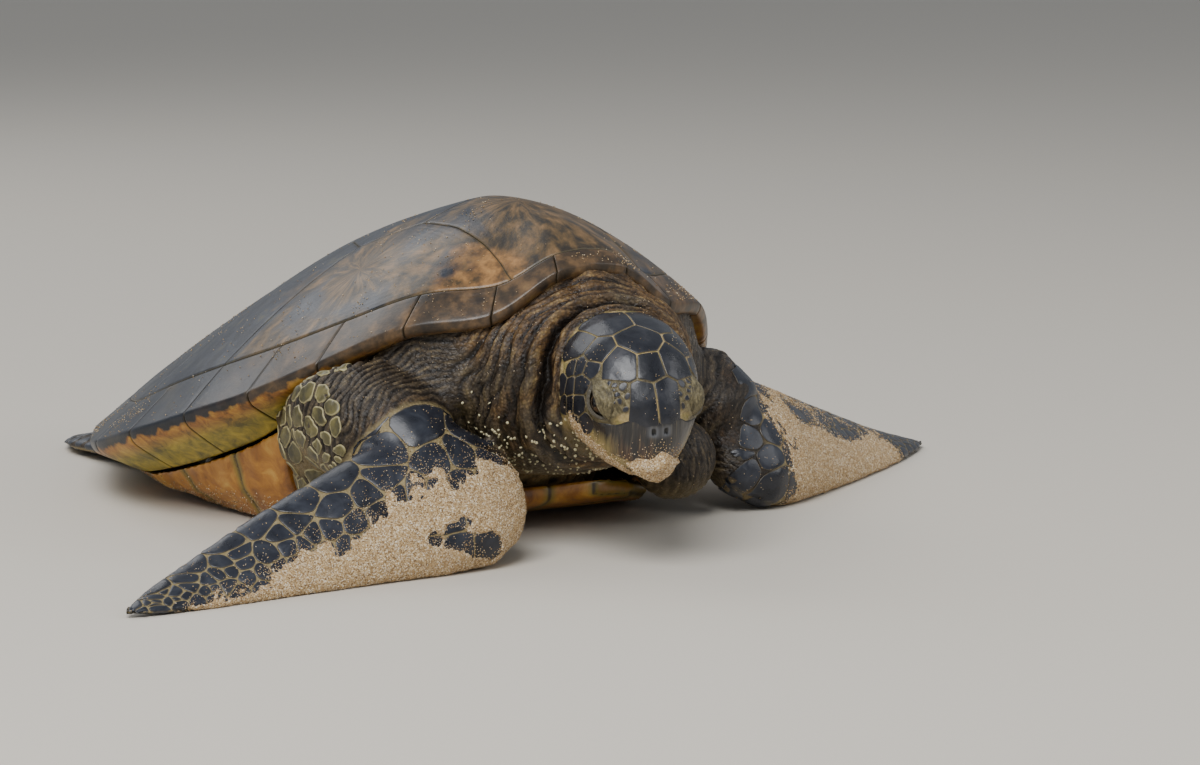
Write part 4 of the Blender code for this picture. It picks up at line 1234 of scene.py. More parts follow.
class Limb:
    """A flattened limb, unrolled: way along it and way across it, the leading edge positive."""

    def __init__(self, rows, face):
        rows = np.array(rows)
        way = way_along(rows[:, :3])
        self.table, self.length, self.face = np.concatenate([way[:, None], rows], 1), way[-1], face

    def half_width(self, along):
        """Half the width of the limb at ways along it."""
        return np.linalg.norm(read_rows(self.table, along)[..., 3:6], axis=-1)

    def section(self, along):
        """Middle, half chord, half thickness and outward direction of the limb's sections."""
        rows = read_rows(self.table, along)
        ahead = (read_rows(self.table, along + 4 * MM)
                 - read_rows(self.table, along - 4 * MM))[:, :3]
        chord = rows[:, 3:6]
        return rows[:, :3], chord, rows[:, 6], unit(np.cross(chord, ahead)) * self.face

    def place(self, flat):
        """Points of the skin, and normals, from places of the unrolled limb."""
        middle, chord, thick, outward = self.section(flat[:, 0])
        share = np.clip(flat[:, 1] / np.linalg.norm(chord, axis=1), -1, 1)
        high = thick * (1 - np.abs(share) ** 2.1) ** (1 / 2.1) + 4 * MM * (1 - np.abs(share) ** 6)
        return nearest_on(SKIN_TREE, middle + chord * share[:, None] + outward * high[:, None])

    def map_place(self, flat):
        """Place on the flipper's unwrap: its two faces side by side."""
        u = flat[:, 0] / self.length * 0.9 + 0.05
        v = flat[:, 1] / 0.19 * 0.45 + (0.25 if self.face > 0 else 0.75)
        return np.stack([u, v], 1)


def flipper_sites(limb, start, seed, rows):
    """Sites of scales in rows across a flipper: share of the half width, spacing at the root."""
    rng = np.random.RandomState(seed)
    sites, weights = [], []
    for share, spacing, weight in rows:
        along = start + rng.uniform(0, 0.5) * spacing
        while along < limb.length - 4 * MM:
            taper = 1 - 0.45 * along / limb.length
            width = float(limb.half_width(along))
            if width > 5 * MM and (abs(share) > 0.5 or width > 22 * MM or rng.uniform() < 0.6):
                jitter = rng.uniform(-0.5, 0.5, 2) * (0.6 if abs(share) < 0.7 else 0.2)
                sites.append((along + jitter[0] * spacing, (share + jitter[1] * 0.22) * width))
                weights.append(weight * taper)
            along += spacing * taper * rng.uniform(0.85, 1.15)
    return np.array(sites), np.array(weights)


TOP_ROWS = [(-0.80, 64 * MM, 0.00030), (-0.30, 42 * MM, 0.00004), (0.10, 28 * MM, -0.00004),
            (0.48, 26 * MM, -0.00002), (0.86, 36 * MM, 0.00010)]
LOW_ROWS = [(-0.80, 50 * MM, 0.00020), (-0.32, 30 * MM, 0.0), (0.10, 24 * MM, 0.0),
            (0.46, 26 * MM, 0.0), (0.84, 34 * MM, 0.00010)]


def flipper_scales(name, table, top, start, seed):
    """The scales of a flipper: long ones along its edges and small ones between, on both faces."""
    body = Body()
    maps = []
    for face, rows in ((top, TOP_ROWS), (-top, LOW_ROWS)):
        limb = Limb(table, face)
        sites, weights = flipper_sites(limb, start, seed + face, rows)
        ends = [(start - 8 * MM, v * 0.03) for v in (-2, -1, 0, 1, 2)]
        outlines = cells(np.concatenate([sites, ends]), np.concatenate([weights, np.zeros(5)]),
                         1.1 * MM, 70 * MM)
        for i, (site, outline) in enumerate(zip(sites, outlines)):
            width = float(limb.half_width(site[0]))
            slope = (float(limb.half_width(site[0] + 5 * MM))
                     - float(limb.half_width(site[0] - 5 * MM))) / (10 * MM)
            for edge in (1, -1):
                outline = cut_outline(outline, np.array([site[0], edge * (width + 0.3 * MM)]),
                                      unit(np.array([-slope, edge])))
            outline = cut_outline(outline, np.array([limb.length - 1 * MM, 0]), np.array([1.0, 0]))
            if len(outline) < 3:
                continue
            outline = softened(softened(outline))
            middle = outline.mean(0)
            reach = np.linalg.norm(outline - middle, axis=1).max()
            if reach < 3.5 * MM:
                continue
            depth = np.clip(reach * 0.08, 1.4 * MM, 2.8 * MM)
            make_plate(body, outline, middle, limb.place, depth,
                       plate_relief(1.0 * MM, 1.4 * MM, 61, 0.2 * MM), 2.4 * MM,
                       plate_rings(reach, 4.5 * MM, 1.4 * MM), i * TINT_STEP % 1)
            maps.append(limb.map_place(body.flat[-1]))
    mesh = body.mesh(name)
    lay_map(mesh, np.concatenate(maps))
    finish_piece(name, mesh, FLIPPER_HORN)


# Scales scattered over the skin -------------------------------------------------------------------
def picked_sites(points, spacing, seed):
    """Numbers of points kept at least a spacing apart, which may differ from point to point."""
    order = np.random.RandomState(seed).permutation(np.flatnonzero(spacing > 0))
    size = spacing[order].max()
    boxes, kept = {}, []
    for i in order:
        box = tuple((points[i] // size).astype(int))
        near = [j for dx in (-1, 0, 1) for dy in (-1, 0, 1) for dz in (-1, 0, 1)
                for j in boxes.get((box[0] + dx, box[1] + dy, box[2] + dz), ())]
        if near and np.linalg.norm(points[near] - points[i], axis=1).min() < spacing[i]:
            continue
        boxes.setdefault(box, []).append(i)
        kept.append(i)
    return np.array(kept)


def tangents(normal):
    """Two directions in the surface, across and up."""
    across = unit(np.cross(normal, [0.1, 0.2, 1.0]))
    return across, np.cross(normal, across)


def scattered_scales(name, places, normals, reaches, gap, height, material, map_of):
    """Scales round chosen places of the skin, cut to their neighbours and no wider than asked."""
    finder = point_tree(places)
    body = Body()
    for i, (place, normal, reach) in enumerate(zip(places, normals, reaches)):
        across, up = tangents(normal)
        near = [j for _, j, _ in finder.find_n(place, 12) if j != i and normals[j] @ normal > 0.3]
        ray = places[near] - place
        sites = np.concatenate([[[0.0, 0.0]], np.stack([ray @ across, ray @ up], 1)])
        outline = cells(sites[:1], np.zeros(1), gap, reach * 2)[0]
        for site in sites[1:]:
            far = max(np.linalg.norm(site), 1e-6)
            outline = cut_outline(outline, site / 2 - site / far * gap / 2, site / far)
        for turn in np.arange(10) / 10 * 2 * math.pi:
            way = np.array([math.cos(turn), math.sin(turn)])
            long = reach * (1 + 0.18 * math.sin(2 * turn + i))
            outline = cut_outline(outline, way * long, way)
        if len(outline) < 3:
            continue
        outline = softened(resampled(outline, reach * 0.3), 2)

        def lay(flat):
            """Points of the skin, and normals, from places in the scale's own plane."""
            return nearest_on(SKIN_TREE, place + flat[:, :1] * across + flat[:, 1:] * up)

        make_plate(body, outline, outline.mean(0), lay, 0.9 * MM,
                   plate_relief(height, 1.6 * MM, 63, 0.1 * MM), max(1.6 * MM, reach * 0.22),
                   [0.45, 0.78, 0.93, 1.0], i * TINT_STEP % 1)
    mesh = body.mesh(name)
    lay_map(mesh, map_of(places_of(mesh)))
    finish_piece(name, mesh, material)


def head_map(points):
    """Unwrap of the head, from the pole of its chart."""
    return 0.5 + head_chart(head_local(points)) / 0.34


def flank_map(points):
    """Unwrap of the flanks: length along the body and height, the two sides one above the other."""
    u = (points[:, 1] + 0.62) / 1.24
    v = points[:, 2] / 0.30 * 0.45 + np.where(points[:, 0] > 0, 0.52, 0.02)
    return np.stack([u, v], 1)


def limb_map(points):
    """Unwrap of the hind limbs and tail: plan view, upper and lower faces in bands of their own."""
    u = (points[:, 0] + 0.30) / 0.60
    v = (points[:, 1] - 0.05) / 0.60
    return np.stack([u, v], 1)


def way_from_rim(points):
    """Distance from the inner lower edge of the rim, and the count of the nearest place on it."""
    counts = np.linspace(-5.2, 5.2, 209)
    face, _ = marginal_sections(counts)
    finder = point_tree(face[-1])
    found = [finder.find(point)[1:] for point in points]
    return np.array([far for _, far in found]), np.abs(counts[[i for i, _ in found]])


# Small dark scales on the upper lids: ahead, aside, above, reach.
LID_SCALES = [(0.067, 0.033, 0.034, 5.0), (0.062, 0.041, 0.036, 4.2), (0.071, 0.039, 0.028, 4.0),
              (0.067, 0.045, 0.029, 4.6), (0.074, 0.036, 0.021, 3.6), (0.057, 0.047, 0.035, 3.4),
              (0.076, 0.030, 0.027, 3.6), (0.079, 0.032, 0.013, 3.4), (0.072, 0.044, 0.020, 3.2)]


def make_small_scales():
    """Round scales in the hollows before the bridges, and those of the hind limbs and tail."""
    mesh = SKIN_MESH
    points, normals = places_of(mesh), normals_of(mesh)
    front = np.flatnonzero((points[:, 1] > -0.42) & (points[:, 1] < -0.12)
                           & (np.abs(points[:, 0]) > 0.13) & (points[:, 2] < 0.26))
    far, count = way_from_rim(points[front])
    spacing = np.zeros(len(points))
    left = points[front, 0] > 0
    from_shoulder = np.linalg.norm(points[front] - SHOULDER_RIGHT, axis=1)
    beside_rim = (far > 6 * MM) & (far < 58 * MM) & (count > np.where(left, 3.9, 3.1))
    before_bridge = ~left & (from_shoulder > 0.136) & (count > 3.2) & (points[front, 2] > 0.05)
    spacing[front] = np.where(beside_rim | before_bridge,
                              (14 + 7 * smooth_step(2.8, 3.8, count)) * MM
                              * (0.9 + 0.3 * ripple(points[front], 0.03, 64)), 0)
    spacing *= 1 - on_blades(points)
    kept = picked_sites(points, np.where(spacing > 6 * MM, spacing, 0), 65)
    reach = spacing[kept] * 0.62
    scattered_scales("axillary_scales", points[kept], normals[kept], reach, 2.2 * MM, 1.0 * MM,
                     FLANK_SCALE, flank_map)
    ahead, aside, above, reach = np.array(LID_SCALES).T
    both = [in_head(np.stack([ahead, side * aside, above], 1)) for side in (-1, 1)]
    places, facing = nearest_on(SKIN_TREE, np.concatenate(both))
    scattered_scales("lid_scales", places, facing, np.tile(reach, 2) * MM, 1.0 * MM, 0.7 * MM,
                     PLATE_HORN, head_map)
    behind = points[:, 1] > 0.125
    limb = behind & (np.hypot(points[:, 0], points[:, 1] - 0.1) > 0.05) & (points[:, 2] > 2 * MM)
    size = 0.0150 + 0.004 * ripple(points, 0.06, 66)
    kept = picked_sites(points, np.where(limb & (points[:, 2] < 0.075), size, 0), 67)
    scattered_scales("hind_limb_scales", points[kept], normals[kept], size[kept] * 0.72, 1.6 * MM,
                     0.9 * MM, FLIPPER_HORN, limb_map)


# Sand ---------------------------------------------------------------------------------------------
def crust(body, base, normal, presence, thick):
    """A thin crust over a grid of skin points: it lies over the skin where presence nears 1."""
    high = (presence * thick + (presence - 1) * 3.0 * MM
            + ripple(base, 0.007, 72) * (0.35 * MM + 0.18 * thick) * presence
            + ripple(base, 0.003, 73) * 0.35 * MM)
    top = base + normal * high[..., None]
    low = base - normal * (4.5 * MM)
    top[..., 2] = np.maximum(top[..., 2], CLEAR)
    low[..., 2] = np.maximum(low[..., 2], SUNK_CLEAR)
    whole = np.concatenate([top, low[::-1]])
    body.add(whole, grid_faces(*whole.shape[:2], closed_rows=True, ends=True),
             sand=np.concatenate([presence, presence * 0]).ravel())


def blade_crust(body, loose, table, face, start_share, slope, bare, thick, first, last, turns):
    """Sand over the leading part of a flipper and round its edge."""
    limb = Limb(table, face)
    along = np.linspace(first, last, 210)
    turn = np.radians(np.linspace(*turns, 66))
    middle, chord, half, outward = limb.section(along)
    point = (middle[:, None] + chord[:, None] * np.sin(turn)[None, :, None]
             + outward[:, None] * (half[:, None] * np.cos(turn)[None])[..., None])
    base, normal = nearest_on(SKIN_TREE, point.reshape(-1, 3))
    base, normal = base.reshape(point.shape), normal.reshape(point.shape)
    share = np.where(turn > math.pi / 2, 2 - np.sin(turn), np.sin(turn))[None]
    part = along[:, None] / limb.length
    edge = start_share + slope * part
    uneven = (ripple(base, 0.045, 74) * 0.30 + ripple(base, 0.014, 75) * 0.22
              + ripple(base, 0.006, 76) * 0.14 + ripple(base, 0.003, 70) * 0.10)
    wanted = share - edge + uneven
    wanted = np.minimum(wanted, 1.50 - share + uneven)
    inside = np.minimum(along - first, last - along)[:, None]
    wanted = np.minimum(wanted, inside / 0.07 - 0.25 + uneven * 1.5)
    for at, beside, long, wide in bare:
        spot = ((along[:, None] - at) / long) ** 2 + ((share - beside) / wide) ** 2
        wanted = wanted - 1.1 * np.exp(-spot)
    presence = smooth_step(-0.06, 0.10, wanted)
    crust(body, base, normal, presence, thick)
    near = np.exp(np.minimum(wanted, 0) / 0.16) * (wanted < 0.08)
    loose.add(base + normal * 1.1 * MM, grid_faces(*wanted.shape), sand=near.ravel())


def chin_crust(body, loose):
    """Damp sand caught under the beak and up the cheeks."""
    turn = np.radians(np.linspace(-112, 80, 150))
    lift = np.radians(np.linspace(-78, 4, 80))
    grid_turn, grid_lift = np.meshgrid(turn, lift, indexing="ij")
    way = np.stack([np.cos(grid_turn) * np.cos(grid_lift), np.sin(grid_turn) * np.cos(grid_lift),
                    np.sin(grid_lift)], -1)
    start = in_head([0.040, 0, -0.018])
    world = head_way(way)
    base = np.empty_like(world)
    normal = np.empty_like(world)
    for i in np.ndindex(grid_turn.shape):
        hit, face_normal, _, _ = BARE_HEAD.ray_cast(Vector(start), Vector(world[i]))
        base[i], normal[i] = (hit, face_normal) if hit else (start + world[i] * 0.05, world[i])
    uneven = ripple(base, 0.025, 77) * 0.35 + ripple(base, 0.009, 78) * 0.30
    local = head_local(base)
    clump = 1.5 - np.abs((grid_turn - 0.10) / 0.60) - np.abs((grid_lift + 0.54) / 0.29)
    line = local[..., 2] + 0.012 + 0.62 * (local[..., 0] + 0.005)
    line = line + ripple(base, 0.012, 83) * 4 * MM + ripple(base, 0.0045, 82) * 3 * MM
    past_cheek = np.maximum(np.abs(local[..., 0] - 0.034) - 0.036, 0)
    strip = 1.10 - np.abs(line / (13 * MM)) - past_cheek / 0.01
    strip = np.where(grid_turn < 0, strip, strip - 0.6)
    presence = smooth_step(0.0, 0.35, np.maximum(clump, strip) + uneven)
    thick = (1.5 + 7.5 * smooth_step(0.1, 0.9, clump + uneven * 0.5)) * MM
    crust(body, base, normal, presence, thick)
    near = np.exp(np.minimum(np.maximum(clump, strip) + uneven, 0) / 0.30) * (presence < 0.3)
    loose.add(base + normal * 1.0 * MM, grid_faces(*presence.shape), sand=near.ravel())


def grain_tree():
    """Scatters small grains over a mesh as thickly as its sand mark says."""
    tree = bpy.data.node_groups.new("scattered_sand", "GeometryNodeTree")
    for name, kind in (("Geometry", "Geometry"), ("Density", "Float"), ("Grain Size", "Float"),
                       ("Seed", "Int"), ("Material", "Material")):
        tree.interface.new_socket(name, in_out="INPUT", socket_type=f"NodeSocket{kind}")
    tree.interface.new_socket("Geometry", in_out="OUTPUT", socket_type="NodeSocketGeometry")
    node = partial(add_node, tree)
    given = node("NodeGroupInput").node.outputs
    sand = node("GeometryNodeInputNamedAttribute", {"Name": "sand"})
    much = node("Math", [given["Density"], sand], operation="MULTIPLY")
    spread = node("GeometryNodeDistributePointsOnFaces",
                  {"Mesh": given["Geometry"], "Density": much, "Seed": given["Seed"]}, "Points")
    grain = node("GeometryNodeMeshIcoSphere", {"Radius": 1.0, "Subdivisions": 1}, "Mesh")
    turn = node("FunctionNodeRandomValue", {"Seed": given["Seed"], "Max": (6.28, 6.28, 6.28)},
                data_type="FLOAT_VECTOR")
    size = node("FunctionNodeRandomValue",
                {"Seed": given["Seed"], "Min": (0.35, 0.35, 0.35), "Max": (1.0, 1.0, 1.0)},
                data_type="FLOAT_VECTOR")
    scale = node("VectorMath", {0: size, "Scale": given["Grain Size"]}, operation="SCALE")
    placed = node("GeometryNodeInstanceOnPoints",
                  {"Points": spread, "Instance": grain, "Rotation": turn, "Scale": scale})
    real = node("GeometryNodeRealizeInstances", {"Geometry": placed})
    done = node("GeometryNodeSetMaterial", {"Geometry": real, "Material": given["Material"]})
    node("NodeGroupOutput", {"Geometry": done})
    return tree


def plan_map(points):
    """Unwrap of the sand: plan view."""
    return np.stack([(points[:, 0] + 0.70) / 1.40, (points[:, 1] + 0.66) / 1.28], 1)


def grains(name, mesh, tree, density, size, seed, map_of=plan_map, material=None):
    """A piece of loose grains over a mesh that carries a sand mark."""
    material = material or SAND
    wanted = {"Density": density, "Grain Size": size, "Seed": seed, "Material": material}
    inputs = [(item.identifier, wanted[item.name]) for item in tree.interface.items_tree
              if item.in_out == "INPUT" and item.name in wanted]
    result = evaluated(mesh, "NODES", inputs, node_group=tree)
    lay_map(result, map_of(places_of(result)))
    finish_piece(name, result, material)


def marked_copy(mesh, sand):
    """A copy of a mesh that says how thickly sand lies on it."""
    copy = mesh.copy()
    write_mark(copy, "sand", np.clip(sand, 0, 1))
    return copy


def stray(points, sizes, seed, share, least, much):
    """How thickly stray grains lie: uneven by two sizes of swell."""
    spots = (ripple(points, sizes[0], seed) * share
             + ripple(points, sizes[1], seed + 1) * (1 - share))
    return np.clip(least + spots * much, 0, 1)


def make_sand():
    """The caked crusts on flippers and chin, and the grains on them and on the clean parts."""
    body, loose = Body(), Body()
    blade_crust(body, loose, FLIPPER_RIGHT, -1, -0.45, 1.45,
                [(0.108, 0.66, 0.034, 0.20), (0.066, 0.84, 0.022, 0.14)],
                2.3 * MM, -0.030, 0.44, (-50, 125))
    blade_crust(body, loose, FLIPPER_LEFT, 1, -0.62, 0.55,
                [(0.16, -0.2, 0.03, 0.25), (0.27, 0.0, 0.05, 0.3)],
                1.7 * MM, 0.060, 0.40, (-60, 125))
    chin_crust(body, loose)
    mesh = body.mesh("sand_crust")
    lay_map(mesh, plan_map(places_of(mesh)))
    tree = grain_tree()
    grains("sand_grains", mesh.copy(), tree, 125000.0, 0.95 * MM, 5)
    finish_piece("sand_crust", mesh, SAND)
    grains("loose_sand", loose.mesh("loose_sand"), tree, 260000.0, 0.8 * MM, 12)
    shares = np.linspace(0.05, 0.99, 60)[None]
    grid = on_shell(round_rim(240)[:, None], shares, -0.5 * MM)
    body = Body()
    much = stray(grid, (0.05, 0.015), 79, 0.5, 0.10, 0.9) ** 2
    much *= 0.25 + smooth_step(0.75, 0.95, shares)
    body.add(grid, grid_faces(*grid.shape[:2], closed_rows=True), sand=much.ravel())
    grains("shell_sand_specks", body.mesh("specks"), tree, 170000.0, 0.8 * MM, 7)
    points = places_of(SKIN_MESH)
    much = stray(points, (0.04, 0.012), 84, 0.5, 0.05, 0.8) * (points[:, 1] < -0.15)
    grains("skin_sand_specks", marked_copy(SKIN_MESH, much), tree, 30000.0, 0.7 * MM, 8)
    local = head_local(points)
    low = 1 - smooth_step(-0.060, -0.025, local[:, 2] + ripple(points, 0.03, 89) * 0.02)
    low *= (points[:, 1] < -0.40) & (local[:, 0] < 0.01) & (np.abs(points[:, 0]) < 0.13)
    grains("throat_granules", marked_copy(SKIN_MESH, low), tree, 9000.0, 2.4 * MM, 11, flank_map,
           GRANULE)
    for piece in ("head_plates", "flipper_scales_right", "flipper_scales_left"):
        base = bpy.data.objects[piece].data
        much = stray(places_of(base), (0.03, 0.010), 86, 0.6, 0.05, 0.9)
        grains(f"{piece}_sand_specks", marked_copy(base, much), tree, 50000.0, 0.7 * MM, 9)
    base = bpy.data.objects["belly_scutes"].data
    points = places_of(base)
    low = 1 - smooth_step(0.012, 0.040, points[:, 2] + ripple(points, 0.03, 88) * 0.010)
    low *= (np.abs(points[:, 0]) > 0.15) & (points[:, 2] > 1.5 * MM)
    grains("belly_sand", marked_copy(base, low), tree, 62000.0, 1.3 * MM, 10)


# Beak ---------------------------------------------------------------------------------------------
BEAK_MIDDLE = 0.046  # ahead of the head's centre
NOSTRILS = (-4.2 * MM, 9.0 * MM)  # to the left of its midline
NOSTRIL_HEIGHT = -0.0070
SHEATH = 1.2 * MM  # how far the horn goes down under the skin


def beak_wall(body, top_line, low_line, lift, reach, jaw):
    """A horny sheath round the snout between two heights given for each direction."""
    azimuth = np.linspace(-reach, reach, 121)
    part = np.linspace(0, 1, 34)
    rings = []
    for share in part:
        level = top_line(azimuth) * (1 - share) + low_line(azimuth) * share
        row = np.empty((len(azimuth), 3))
        for j, (turn, above) in enumerate(zip(azimuth, level)):
            start = Vector(in_head([BEAK_MIDDLE, 0, above]))
            ray = Vector(head_way([math.cos(turn), math.sin(turn), 0]))
            hit = BARE_HEAD.ray_cast(start + ray * 0.09, -ray)[0]
            row[j] = hit if hit else start + ray * 0.02
        rings.append(row)
    grid = np.stack(rings)
    normal = grid_normals(grid, grid - in_head([BEAK_MIDDLE, 0, -0.02]))
    away = np.minimum(np.minimum(part, 1 - part)[:, None] * 0.03,
                      (reach - np.abs(azimuth))[None] * 0.05)
    height = lift * np.sqrt(1 - (1 - np.clip(away / (2.0 * MM), 0, 1)) ** 2)
    nostril, shield = np.zeros(grid.shape[:2]), np.zeros(grid.shape[:2])
    for aside in NOSTRILS:
        away_by = head_local(grid) - np.array([0, aside, NOSTRIL_HEIGHT])
        beside, above = away_by[..., 1], away_by[..., 2]
        nostril += np.exp(-(beside / (2.2 * MM)) ** 4 - (above / (3.3 * MM)) ** 4)
        shield += np.exp(-(beside / (6.0 * MM)) ** 4 - (above / (5.5 * MM)) ** 4)
    nostril = nostril * (1 - jaw)
    shield = np.minimum(shield, 1) * (1 - jaw)
    streak = ripple(np.stack(np.broadcast_arrays(azimuth[None] * 0.05, part[:, None] * 0.002, 0.0),
                             -1), 1.6 * MM, 71) * 0.10 * MM
    top = grid + normal * (height + streak - nostril * 2.2 * MM)[..., None]
    under = grid - normal * (SHEATH + nostril * 2.4 * MM)[..., None]
    whole = np.concatenate([top, under[::-1]])
    faces = grid_faces(*whole.shape[:2], closed_rows=True, ends=True)
    share = np.concatenate([part, part[::-1]])
    streaks = np.stack(np.broadcast_arrays(azimuth[None] * 0.05, share[:, None] * 0.03, 0.0), -1)
    body.add(whole, faces, streak=streaks.reshape(-1, 3), jaw=jaw,
             nostril=np.concatenate([nostril, nostril[::-1]]).ravel(),
             shield=np.concatenate([shield, shield[::-1]]).ravel(),
             side=np.tile(smooth_step(0.65, 1.40, np.abs(azimuth)), len(whole)))


def mouth_height(azimuth, extra=0.0):
    """Height of the line of the mouth in each direction."""
    ahead = BEAK_MIDDLE + 0.046 * np.cos(azimuth)
    bow = -0.0035 * np.exp(-(azimuth / 0.35) ** 2)
    return MOUTH_RISE + (ahead - MOUTH_CORNER) * MOUTH_SLOPE + bow + extra


def sunk_at_nostrils(points):
    """Skin points drawn in where the nostrils open through the horn over them."""
    local = head_local(points)
    far = [np.linalg.norm(local - [0.091, aside, NOSTRIL_HEIGHT], axis=1) for aside in NOSTRILS]
    depth = sum(np.exp(-(away / (8 * MM)) ** 4) for away in far)
    return points - head_way([6 * MM, 0, 0]) * np.minimum(depth, 1)[:, None]


def beak_top(azimuth):
    """Upper border of the beak's horn: a small shield between the nostrils, then scallops."""
    nose = 5.5 * MM * np.exp(-((azimuth - 0.05) / 0.24) ** 4)
    nose = nose + 6.0 * MM * np.exp(-((np.abs(azimuth) - 0.62) / 0.30) ** 2)
    return nose - 2.5 * MM - 4.5 * MM * (1 - np.cos(azimuth * 1.5)) - 1.2 * MM * np.cos(azimuth * 7)


def make_beak():
    """The horny sheaths of the two jaws."""
    for jaw, name, top_line, low_line, lift, reach in (
            (0.0, "upper", beak_top, mouth_height, 1.0 * MM, 1.50),
            (1.0, "lower", partial(mouth_height, extra=-1.2 * MM),
             partial(mouth_height, extra=-9.5 * MM), 0.4 * MM, 1.40)):
        body = Body()
        beak_wall(body, top_line, low_line, lift, reach, jaw)
        finish_piece(f"{name}_beak_sheath", body, BEAK_HORN, [f"beak_{name}"])


# Materials ----------------------------------------------------------------------------------------
HORN_BENDS = 1.54  # how strongly keratin, and quartz, bend light


def finish(name, recipe, *given):
    """A material: its recipe gives the first colour, the coats over it and the shader's inputs."""
    material = bpy.data.materials.new(name)
    material.use_nodes = True
    tree = material.node_tree
    tree.nodes.clear()
    node = partial(add_node, tree)
    base, coats, inputs = recipe(node, node("TexCoord", out="Object"), *given)
    for share, over in coats:
        over = colour(over) if isinstance(over, str) else over
        base = node("Mix", {0: share, 6: base, 7: over}, data_type="RGBA")
    node("OutputMaterial", {"Surface": node("BsdfPrincipled", {"Base Color": base, **inputs})})
    return material


def scratched(node, place, scale, distance, strength):
    """A surface roughened by fine wear."""
    scratch = node("TexNoise", {"Vector": place, "Scale": scale, "Detail": 3.0})
    return node("Bump", {"Height": scratch, "Distance": distance, "Strength": strength})


def floor_paint(node, place):
    """Matt pale paint."""
    return colour("CFC8BC"), [], {"Roughness": 0.9, "IOR": 1.5}


def horn_pattern(node, place):
    """Rays from the growth point of a scute in blue-black, brown and tan; gives base and cloud."""
    growth = node("Attribute", out="Vector", attribute_name="growth")
    tint = node("CombineXYZ", {"Z": node("Attribute", out="Fac", attribute_name="tint")})
    seeded = node("VectorMath", [growth, (3.2, 3.2, 18.0), tint], operation="MULTIPLY_ADD")
    rays = node("TexNoise", {"Vector": seeded, "Scale": 2.3, "Detail": 7.0, "Roughness": 0.62,
                             "Distortion": 0.35})
    cloud = node("TexNoise", {"Vector": place, "Scale": 9.0, "Detail": 4.0, "Roughness": 0.55,
                              "Distortion": 0.8})
    front = node("MapRange", [node("SeparateXYZ", [place], "Y"), -0.02, -0.26, -0.3, 0.1])
    warm = node("ValToRGB", [node("Math", [cloud, front], operation="ADD")],
                stops=[(0.44, 0.0), (0.56, 1.0)])
    dark = node("ValToRGB", [rays], stops=[(0.3, "0D1017"), (0.44, "161A24"), (0.54, "232833"),
                                           (0.63, "38382F"), (0.76, "665437")])
    brown = node("ValToRGB", [rays], stops=[(0.3, "25211E"), (0.42, "3B3226"), (0.53, "5C492F"),
                                            (0.66, "7C6040"), (0.8, "9C7A4C")])
    return node("Mix", {0: warm, 6: dark, 7: brown}, data_type="RGBA"), cloud


def carapace_horn(node, place):
    """Keratin grown in thin layers, worn smooth and wet: it gives a soft gloss over blue-black,
    with brown and tan rays from each scute's growth point and pale, worn seams."""
    base, cloud = horn_pattern(node, place)
    border = node("Attribute", out="Fac", attribute_name="border")
    spot = node("VectorMath", [place, (-0.098, -0.39, 0.275)], "Value", operation="DISTANCE")
    ragged = node("TexNoise", {"Vector": place, "Scale": 34.0, "Detail": 4.0})
    ragged = node("MapRange", [ragged, 0.3, 0.7, -0.03, 0.03])
    spot = node("Math", [spot, ragged], operation="ADD")
    flakes = node("TexNoise", {"Vector": place, "Scale": 60.0, "Detail": 5.0, "Roughness": 0.65})
    tan = node("ValToRGB", [flakes], stops=[(0.34, "4A3A24"), (0.48, "7E5C36"), (0.62, "A67A48"),
                                            (0.78, "BC9058")])
    coats = [(node("MapRange", [spot, 0.03, 0.062, 0.85, 0.0]), tan),
             (node("MapRange", [border, 0.0004, 0.0014, 0.45, 0.0]), "5F5740")]
    bump = scratched(node, place, 420.0, 0.0004, 0.5)
    return base, coats, {"Roughness": node("MapRange", [cloud, 0.3, 0.7, 0.3, 0.5]),
                         "IOR": HORN_BENDS, "Normal": bump, "Specular IOR Level": 0.38}


